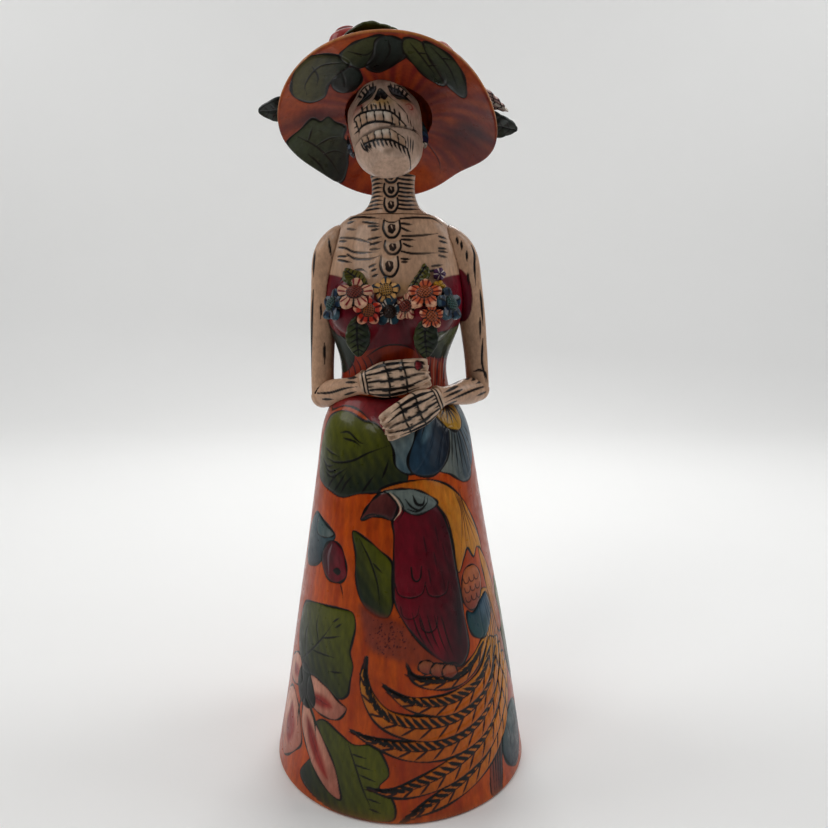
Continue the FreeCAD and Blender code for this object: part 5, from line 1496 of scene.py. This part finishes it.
def paint_over_brim(c):
    """The upper side of the brim, seen from behind and above."""
    for middle in ((-52, 20), (50, 24), (0, 54), (46, -34), (-46, -34)):
        c.wash(middle, (16, 14), BRIM_ORANGE, 0.8)
    for base, tip, half in (((8, 40), (40, 50), 9), ((-8, 40), (-40, 50), 9), ((38, 34), (62, 8), 8),
                            ((-38, 34), (-62, 8), 8), ((38, -26), (56, -36), 7),
                            ((-38, -26), (-56, -36), 7)):
        leaf_between(c, base, tip, half)
    round_flower(c, (0, 50), 15, 6, shade(150, 30, 40), DARK_MAROON, YELLOW, 0.5)
    round_flower(c, (-52, -2), 12, 6, LILY_PALE, LILY_RED, OCHRE, 0.2)
    round_flower(c, (52, -4), 12, 6, shade(112, 126, 126), shade(16, 40, 60), OCHRE, 0.2)


# The brim's right and left sides hang lower than its dish, and its rear corners are drawn in by a share.
DROOP_RIGHT, DROOP_LEFT = 7.5, 11.0
DRAWN_RIGHT, DRAWN_LEFT = 0.07, 0.115
REAR_CORNER = 2.25


def make_hat():
    """The skins of the brim, the crown and the band."""
    verts, faces = remeshed("hat_brim", 0.5, 6)
    local = moved(verts, HAT.inverted())
    reach = np.clip((np.hypot(local[:, 0], local[:, 1]) - 28) / 42, 0, 1)
    turn = np.arctan2(local[:, 0], -local[:, 1])
    local[:, 2] -= np.where(local[:, 0] < 0, DROOP_RIGHT, DROOP_LEFT) * np.abs(np.sin(turn)) ** 4 * reach**2
    local[:, 2] += 1.2 * np.sin(turn * 3 + 0.6) * reach**2
    corner = np.exp(-(((np.abs(turn) - REAR_CORNER) / 0.42) ** 2)) * reach
    local[:, :2] *= 1 - (np.where(local[:, 0] < 0, DRAWN_RIGHT, DRAWN_LEFT) * corner)[:, None]
    skin = Skin(moved(local, HAT), faces, BRIM_RED)
    streak = np.sin(turn * 31 + np.sin(reach * 5)) * np.sin(turn * 7 + reach * 3)
    skin.blend_ground(BRIM_ORANGE, 0.25 + 0.3 * streak)
    paint_under_brim(local_chart(skin, HAT, (0, 1), (0, 0, -1)))
    paint_over_brim(local_chart(skin, HAT, (0, 1), (0, 0, 1)))
    # A lighter band round the brim's outermost edge: a painted highlight on its lip.
    skin.blend_ground(shade(190, 120, 60), 0.8 * ease((np.hypot(local[:, 0], local[:, 1]) - 69.2) / 0.8))
    skin.finish("hat_brim_skin", "hat_paint", ["hat_brim"], LACQUER)

    verts, faces = remeshed("hat_crown", 0.7, 5)
    skin = Skin(verts, faces, BRIM_ORANGE)
    local = moved(verts, HAT.inverted())
    turn = np.arctan2(local[:, 0], -local[:, 1])
    skin.blend_ground(BRIM_RED, 0.45 + 0.4 * np.sin(turn * 17 + local[:, 2] * 0.1) * np.sin(turn * 5))
    c = Chart(skin, np.stack([turn * 33, local[:, 2]], 1), np.abs(turn) < 3.1)
    for middle in (-80, -40, 45, 85):
        leaf_between(c, (middle - 4, 13), (middle + 12, 27), 6)
        leaf_between(c, (middle + 4, 13), (middle - 14, 25), 6)
        round_flower(c, (middle, 17), 8, 5, shade(150, 30, 40), DARK_MAROON, YELLOW, 0.4)
    skin.finish("hat_crown_skin", "hat_paint", ["hat_crown"], LACQUER)

    verts, faces = remeshed("hat_band", 0.5, 3)
    skin = Skin(verts, faces, TEAL)
    local = moved(verts, HAT.inverted())
    turn = np.arctan2(local[:, 0], -local[:, 1])
    c = Chart(skin, np.stack([turn * 35, local[:, 2]], 1), np.abs(turn) < 3.1)
    middle = float(local[:, 2].mean())
    for k in range(-13, 14):
        x = 8.0 * k
        c.area([(x - 3, middle), (x, middle + 2.4), (x + 3, middle), (x, middle - 2.4)], YELLOW, OCHRE,
               ink=0.4)
        c.stroke([(x + 4, middle - 3), (x + 4, middle + 3)], 0.4)
    skin.finish("hat_band_skin", "band_paint", ["hat_band"], LACQUER)


# ------------------------------------------------------------------ leaves, feathers and roses
def leaf_skin(node, light, dark, voxel=0.4):
    """A moulded leaf: a sunk midrib, raised panels between the veins and a wavy edge."""
    verts, faces = remeshed(node, voxel, 4)
    skin = Skin(verts, faces, light)
    middle, way, side, thin = own_axes(verts)
    u, v = (verts - middle) @ way, (verts - middle) @ side
    half_long, half_wide = np.abs(u).max(), np.abs(v).max()
    panel = np.abs(np.sin(u / half_long * 7.5 + np.abs(v) / half_wide * 2.4))
    skin.push(0.35 * panel - 0.5 * np.exp(-((v / 0.8) ** 2)))
    skin.verts += np.outer(0.9 * np.sin(u / half_long * 6 + 1) * (v / half_wide) ** 2, thin)
    skin.normals = skin.find_normals()
    skin.blend_ground(dark, ease(0.5 - v / half_wide * 0.6 + 0.2 * np.sin(u * 0.6)))
    c = Chart(skin, np.stack([u, v], 1))
    c.stroke([(-half_long, 0), (0, 0.5), (0.92 * half_long, 0)], 0.65, 0.9, 0.4)
    for k in np.linspace(-0.72, 0.6, 6):
        for hand in (-1, 1):
            c.stroke([(k * half_long, 0), ((k + 0.14) * half_long, hand * 0.42 * half_wide),
                      ((k + 0.24) * half_long, hand * 0.72 * half_wide)], 0.42, 0.9, 0.2)
    edge = ease((-hollows(skin, 6) - 0.05) / 0.2)
    skin.blend_ground(INK, 0.45 * edge)
    skin.finish(f"{node}_skin", "leaf_paint", [node], LACQUER)


def rose_skin(node, tone, dark):
    """A moulded rose with a spiral of petals, painted shade in its hollows and painted highlights on its
    ridges.
    """
    verts, faces = remeshed(node, 0.4, 4)
    skin = Skin(verts, faces, tone)
    middle, way, side, thin = own_axes(verts)
    u, v = (verts - middle) @ way, (verts - middle) @ side
    spiral = np.hypot(u, v) * 1.5 + np.arctan2(v, u)
    skin.push(0.4 * np.sin(spiral))
    skin.normals = skin.find_normals()
    skin.blend_ground(dark, 0.75 * ease(0.5 - np.sin(spiral) * 0.7))
    # Painted shade: ink-dark in the hollows between the petals. Painted highlight: pale on their ridges.
    deep = hollows(skin, 10)
    skin.blend_ground(INK, 0.85 * ease((deep - 0.04) / 0.12))
    skin.blend_ground(shade(206, 120, 100), 0.5 * ease((-deep - 0.04) / 0.15))
    skin.finish(f"{node}_skin", "rose_paint", [node], LACQUER)


def feather_skin(node):
    """A plume with a quill and long barbs in maroon and cream."""
    verts, faces = remeshed(node, 0.45, 3)
    skin = Skin(verts, faces, shade(196, 160, 150))
    middle, way, side, thin = own_axes(verts)
    u, v = (verts - middle) @ way, (verts - middle) @ side
    barbs = np.sin(v * 3.4 + 0.25 * np.sin(u * 0.3))
    skin.push(0.25 * barbs)
    skin.normals = skin.find_normals()
    skin.blend_ground(shade(96, 22, 40), ease((barbs - 0.1) / 0.5))
    skin.blend_ground(INK, ease((barbs - 0.75) / 0.2))
    c = Chart(skin, np.stack([u, v], 1))
    c.stroke([(-np.abs(u).max(), 0), (np.abs(u).max(), 0)], 0.8, 1, 0.4, WHITE)
    for k in np.linspace(-0.8, 0.7, 9):
        for hand in (-1, 1):
            start = k * np.abs(u).max()
            c.stroke([(start, 0), (start + 6, hand * 0.8 * np.abs(v).max())], 0.4, 0.9, 0.4)
    skin.finish(f"{node}_skin", "feather_paint", [node], LACQUER)


EARRING_INWARD = 1.2


def earring_skin(node, bands):
    """A hanging earring in bands of colour from top to bottom."""
    verts, faces = remeshed(node, 0.35, 3)
    inward = -EARRING_INWARD if node == "earring_left" else EARRING_INWARD
    verts = moved(moved(verts, HEAD.inverted()) + (inward, 0, 0), HEAD)
    skin = Skin(verts, faces, bands[0])
    z = verts[:, 2]
    share = (z.max() - z) / (z.max() - z.min())
    for k, tone in enumerate(bands[1:], 1):
        skin.blend_ground(tone, ease((share - k / len(bands)) / 0.06 + 0.5))
    deep = hollows(skin, 8)
    skin.blend_ground(INK, 0.7 * ease((-deep - 0.03) / 0.12))
    middle, way, side, thin = own_axes(verts)
    c = Chart(skin, np.stack([(verts - middle) @ way, (verts - middle) @ side], 1))
    for k in np.linspace(-6, 6, 4):
        c.stroke([(k - 1.5, -3), (k, 0), (k - 1.5, 3)], 0.4, 0.8, 0.8)
    skin.finish(f"{node}_skin", "earring_paint", [node], LACQUER)


def make_trim():
    """Leaves, roses and feathers on the hat, and the two earrings."""
    for number in range(1, 8):
        leaf_skin(f"hat_leaf_{number}", SLATE_GREEN if number < 3 else OLIVE, DARK_GREEN)
    for number, tone in ((1, shade(150, 40, 34)), (2, shade(160, 58, 30)), (3, shade(134, 20, 36))):
        rose_skin(f"hat_rose_{number}", tone, DARK_MAROON)
    for number in (1, 2):
        feather_skin(f"hat_feather_{number}")
    earring_skin("earring_left", [shade(26, 18, 24), TEAL, shade(24, 60, 84), shade(20, 30, 66), WHITE])
    earring_skin("earring_right", [NIGHT_BLUE, INK, shade(92, 104, 120), NIGHT_BLUE, shade(120, 124, 132)])


# ------------------------------------------------------------------ flowers on the bust
class Petals:
    """Colours of one flower: petal, its stripes, its tip and the heart."""

    def __init__(self, petal, stripe, tip, heart, stripes=3):
        self.petal, self.stripe, self.tip, self.heart, self.stripes = petal, stripe, tip, heart, stripes


CORAL = Petals(shade(186, 84, 48), shade(96, 22, 18), shade(214, 160, 128), shade(150, 70, 30))
SCARLET = Petals(shade(170, 40, 22), shade(70, 14, 14), shade(206, 140, 110), shade(120, 60, 24), 2)
STRIPED = Petals(shade(198, 150, 122), shade(120, 24, 34), shade(206, 160, 130), shade(110, 40, 26))
INDIGO = Petals(shade(16, 34, 56), shade(6, 10, 18), shade(60, 84, 96), shade(46, 74, 70), 2)
CREAM = Petals(shade(212, 160, 96), shade(30, 50, 62), shade(24, 40, 54), shade(150, 110, 50), 2)
DOTTED = Petals(shade(28, 58, 70), shade(196, 184, 172), shade(20, 34, 46), shade(40, 22, 12), 1)
BOUQUET = {
    "bust_flower_orange_1": (STRIPED, "orange_petals"), "bust_flower_orange_2": (CORAL, "orange_petals"),
    "bust_flower_brown": (DOTTED, "brown_petals"), "bust_flower_blue_1": (INDIGO, "blue_petals"),
    "bust_flower_blue_2": (INDIGO, "blue_petals"), "bust_flower_red_1": (SCARLET, "red_petals"),
    "bust_flower_red_2": (STRIPED, "red_petals"), "bust_flower_red_3": (CORAL, "red_petals"),
    "bust_flower_cream": (CREAM, "cream_petals"),
}


def flower_skin(node, look, slot):
    """A moulded flower: domed petals with painted stripes, a beaded heart and painted shade in its hollows.
    """
    verts, faces = remeshed(node, 0.32, 3)
    skin = Skin(verts, faces, look.petal)
    middle, way, side, thin = own_axes(verts)
    if thin[1] > 0:
        thin = -thin
    side = np.cross(thin, way)
    u, v = (verts - middle) @ way, (verts - middle) @ side
    reach, turn = np.hypot(u, v), np.arctan2(v, u)
    phase = np.angle(np.sum(reach**6 * np.exp(5j * turn)))
    wave = np.cos(5 * turn - phase)
    share = np.clip(reach / np.quantile(reach, 0.98), 0, 1)
    outer = ease((share - 0.42) / 0.1)
    skin.push(outer * (0.55 * wave * share) + (1 - outer) * 0.3 * np.sin(u * 3.2) * np.sin(v * 3.2))
    skin.normals = skin.find_normals()
    skin.blend_ground(look.tip, outer * ease((share - 0.74) / 0.2))
    rays = np.abs(np.sin((5 * turn - phase) / 2 * look.stripes + (0 if look.stripes % 2 else math.pi / 2)))
    skin.blend_ground(look.stripe, outer * ease((rays - 0.80) / 0.12) * ease((1.02 - share) / 0.12))
    skin.blend_ground(INK, outer * ease((-wave - 0.86) / 0.08))
    skin.blend_ground(look.heart, 1 - outer)
    skin.blend_ground(INK, (1 - outer) * ease((-np.sin(u * 3.2) * np.sin(v * 3.2) - 0.1) / 0.4))
    skin.blend_ground(INK, 0.9 * np.exp(-(((share - 0.45) / 0.035) ** 2)))
    # Painted shade: ink-dark in the flower's hollows.
    skin.blend_ground(INK, 0.6 * ease((hollows(skin, 6) - 0.05) / 0.1))
    skin.finish(f"{node}_skin", slot, [node], LACQUER)


def make_flowers():
    """Flowers, buds and leaves on the bust."""
    for node, (look, slot) in BOUQUET.items():
        flower_skin(node, look, slot)
    for node, tone, mark in (("bust_bud_yellow", YELLOW, shade(96, 60, 10)),
                             ("bust_bud_purple", shade(70, 40, 76), WHITE)):
        verts, faces = remeshed(node, 0.3, 2)
        skin = Skin(verts, faces, tone)
        middle = verts.mean(0)
        turn = np.arctan2(verts[:, 2] - middle[2], verts[:, 0] - middle[0])
        skin.push(0.35 * np.cos(turn * 5))
        skin.blend_ground(mark, 0.8 * ease((np.cos(turn * 5 + 3.1) - 0.7) / 0.2))
        skin.finish(f"{node}_skin", "bud_paint", [node], LACQUER)
    for number in (1, 2):
        leaf_skin(f"bust_leaf_{number}", shade(92, 84, 34), OLIVE, 0.35)
    for number in (3, 4):
        leaf_skin(f"bust_leaf_{number}", shade(58, 64, 34), DARK_GREEN, 0.35)


# ------------------------------------------------------------------ stage, lights and camera
def plain_material(name, colour, roughness):
    """A plain matt surface with a very faint cloud in its colour."""
    material, tree, shader = new_material(name)
    ramp = tree.nodes.new("ShaderNodeValToRGB")
    ramp.color_ramp.elements[0].color = (*(0.985 * np.asarray(colour)), 1)
    ramp.color_ramp.elements[1].color = (*colour, 1)
    tree.links.new(noise(tree, 6, 2), ramp.inputs[0])
    tree.links.new(ramp.outputs[0], shader.inputs["Base Color"])
    shader.inputs["Roughness"].default_value = roughness
    shader.inputs["Specular IOR Level"].default_value = 0.2
    return material


def make_stage():
    """A pale floor that curves up into a backdrop behind the figure."""
    profile = [(-6.0, 0.0), (1.1, 0.0)]
    profile += [(1.1 + 0.5 * math.sin(a),
                 0.5 - 0.5 * math.cos(a)) for a in np.linspace(0.1, 0.5 * math.pi, 12)]
    profile += [(1.6, 2.6)]
    verts = [(x, y, z) for y, z in profile for x in (-6.0, 6.0)]
    faces = [(2 * i, 2 * i + 1, 2 * i + 3, 2 * i + 2) for i in range(len(profile) - 1)]
    mesh = bpy.data.meshes.new("backdrop")
    mesh.from_pydata(verts, [], faces)
    mesh.polygons.foreach_set("use_smooth", np.ones(len(faces), bool))
    mesh.materials.append(plain_material("pale_floor", (0.90, 0.90, 0.89), 0.75))
    floor = bpy.data.objects.new("backdrop", mesh)
    bpy.context.scene.collection.objects.link(floor)


def area_light(name, place, target, size, power, colour=(1, 1, 1)):
    """A rectangular lamp at a place, aimed at a target."""
    light = bpy.data.lights.new(name, "AREA")
    light.shape = "RECTANGLE"
    light.size, light.size_y = size
    light.energy = power
    light.color = colour
    lamp = bpy.data.objects.new(name, light)
    lamp.location = place
    lamp.rotation_euler = (Vector(target) - Vector(place)).to_track_quat("-Z", "Y").to_euler()
    bpy.context.scene.collection.objects.link(lamp)


def make_lights():
    """Soft lamps round the figure, two on the backdrop and a dim sky."""
    area_light("key", (-0.75, -0.85, 1.25), (0, 0, 0.25), (0.5, 0.5), 3.6, (1, 0.98, 0.95))
    area_light("fill", (1.2, -0.7, 0.7), (0, 0, 0.25), (0.5, 0.9), 1.3, (0.95, 0.97, 1))
    area_light("top", (0, 0.15, 1.7), (0, 0.05, 0), (1.2, 1.2), 4.0)
    area_light("rim", (0.1, 1.0, 1.0), (0, 0, 0.4), (0.8, 0.5), 6)
    area_light("backdrop_left", (-1.6, 0.3, 1.6), (0.2, 1.5, 0.5), (1.2, 1.2), 15)
    area_light("backdrop_right", (1.6, 0.3, 1.6), (-0.2, 1.5, 0.5), (1.2, 1.2), 15)
    world = bpy.data.worlds.new("studio")
    world.use_nodes = True
    sky = world.node_tree.nodes["Background"]
    sky.inputs[0].default_value = (0.95, 0.97, 1, 1)
    sky.inputs[1].default_value = 0.10
    bpy.context.scene.world = world


CAMERA_PLACE = (0.0, -0.5, 0.335)
CAMERA_PITCH = math.radians(10.1)
CAMERA_LENS = 32.17
CAMERA_SHIFT = 0.0163


def make_camera():
    """The camera in front of the figure, a little above its middle and looking down."""
    camera = bpy.data.cameras.new("camera")
    camera.lens = CAMERA_LENS
    camera.sensor_width = 36.0
    camera.shift_x = CAMERA_SHIFT
    camera.clip_start = 0.01
    eye = bpy.data.objects.new("camera", camera)
    eye.location = CAMERA_PLACE
    eye.rotation_euler = Euler((math.pi / 2 - CAMERA_PITCH, 0, 0))
    bpy.context.scene.collection.objects.link(eye)
    bpy.context.scene.camera = eye


dress_inside()
make_skirt()
make_bodice()
make_neck()
make_arms()
make_hands()
make_skull()
make_jaw()
make_hat()
make_trim()
make_flowers()
make_stage()
make_lights()
make_camera()
bpy.context.scene.view_settings.view_transform = "Standard"
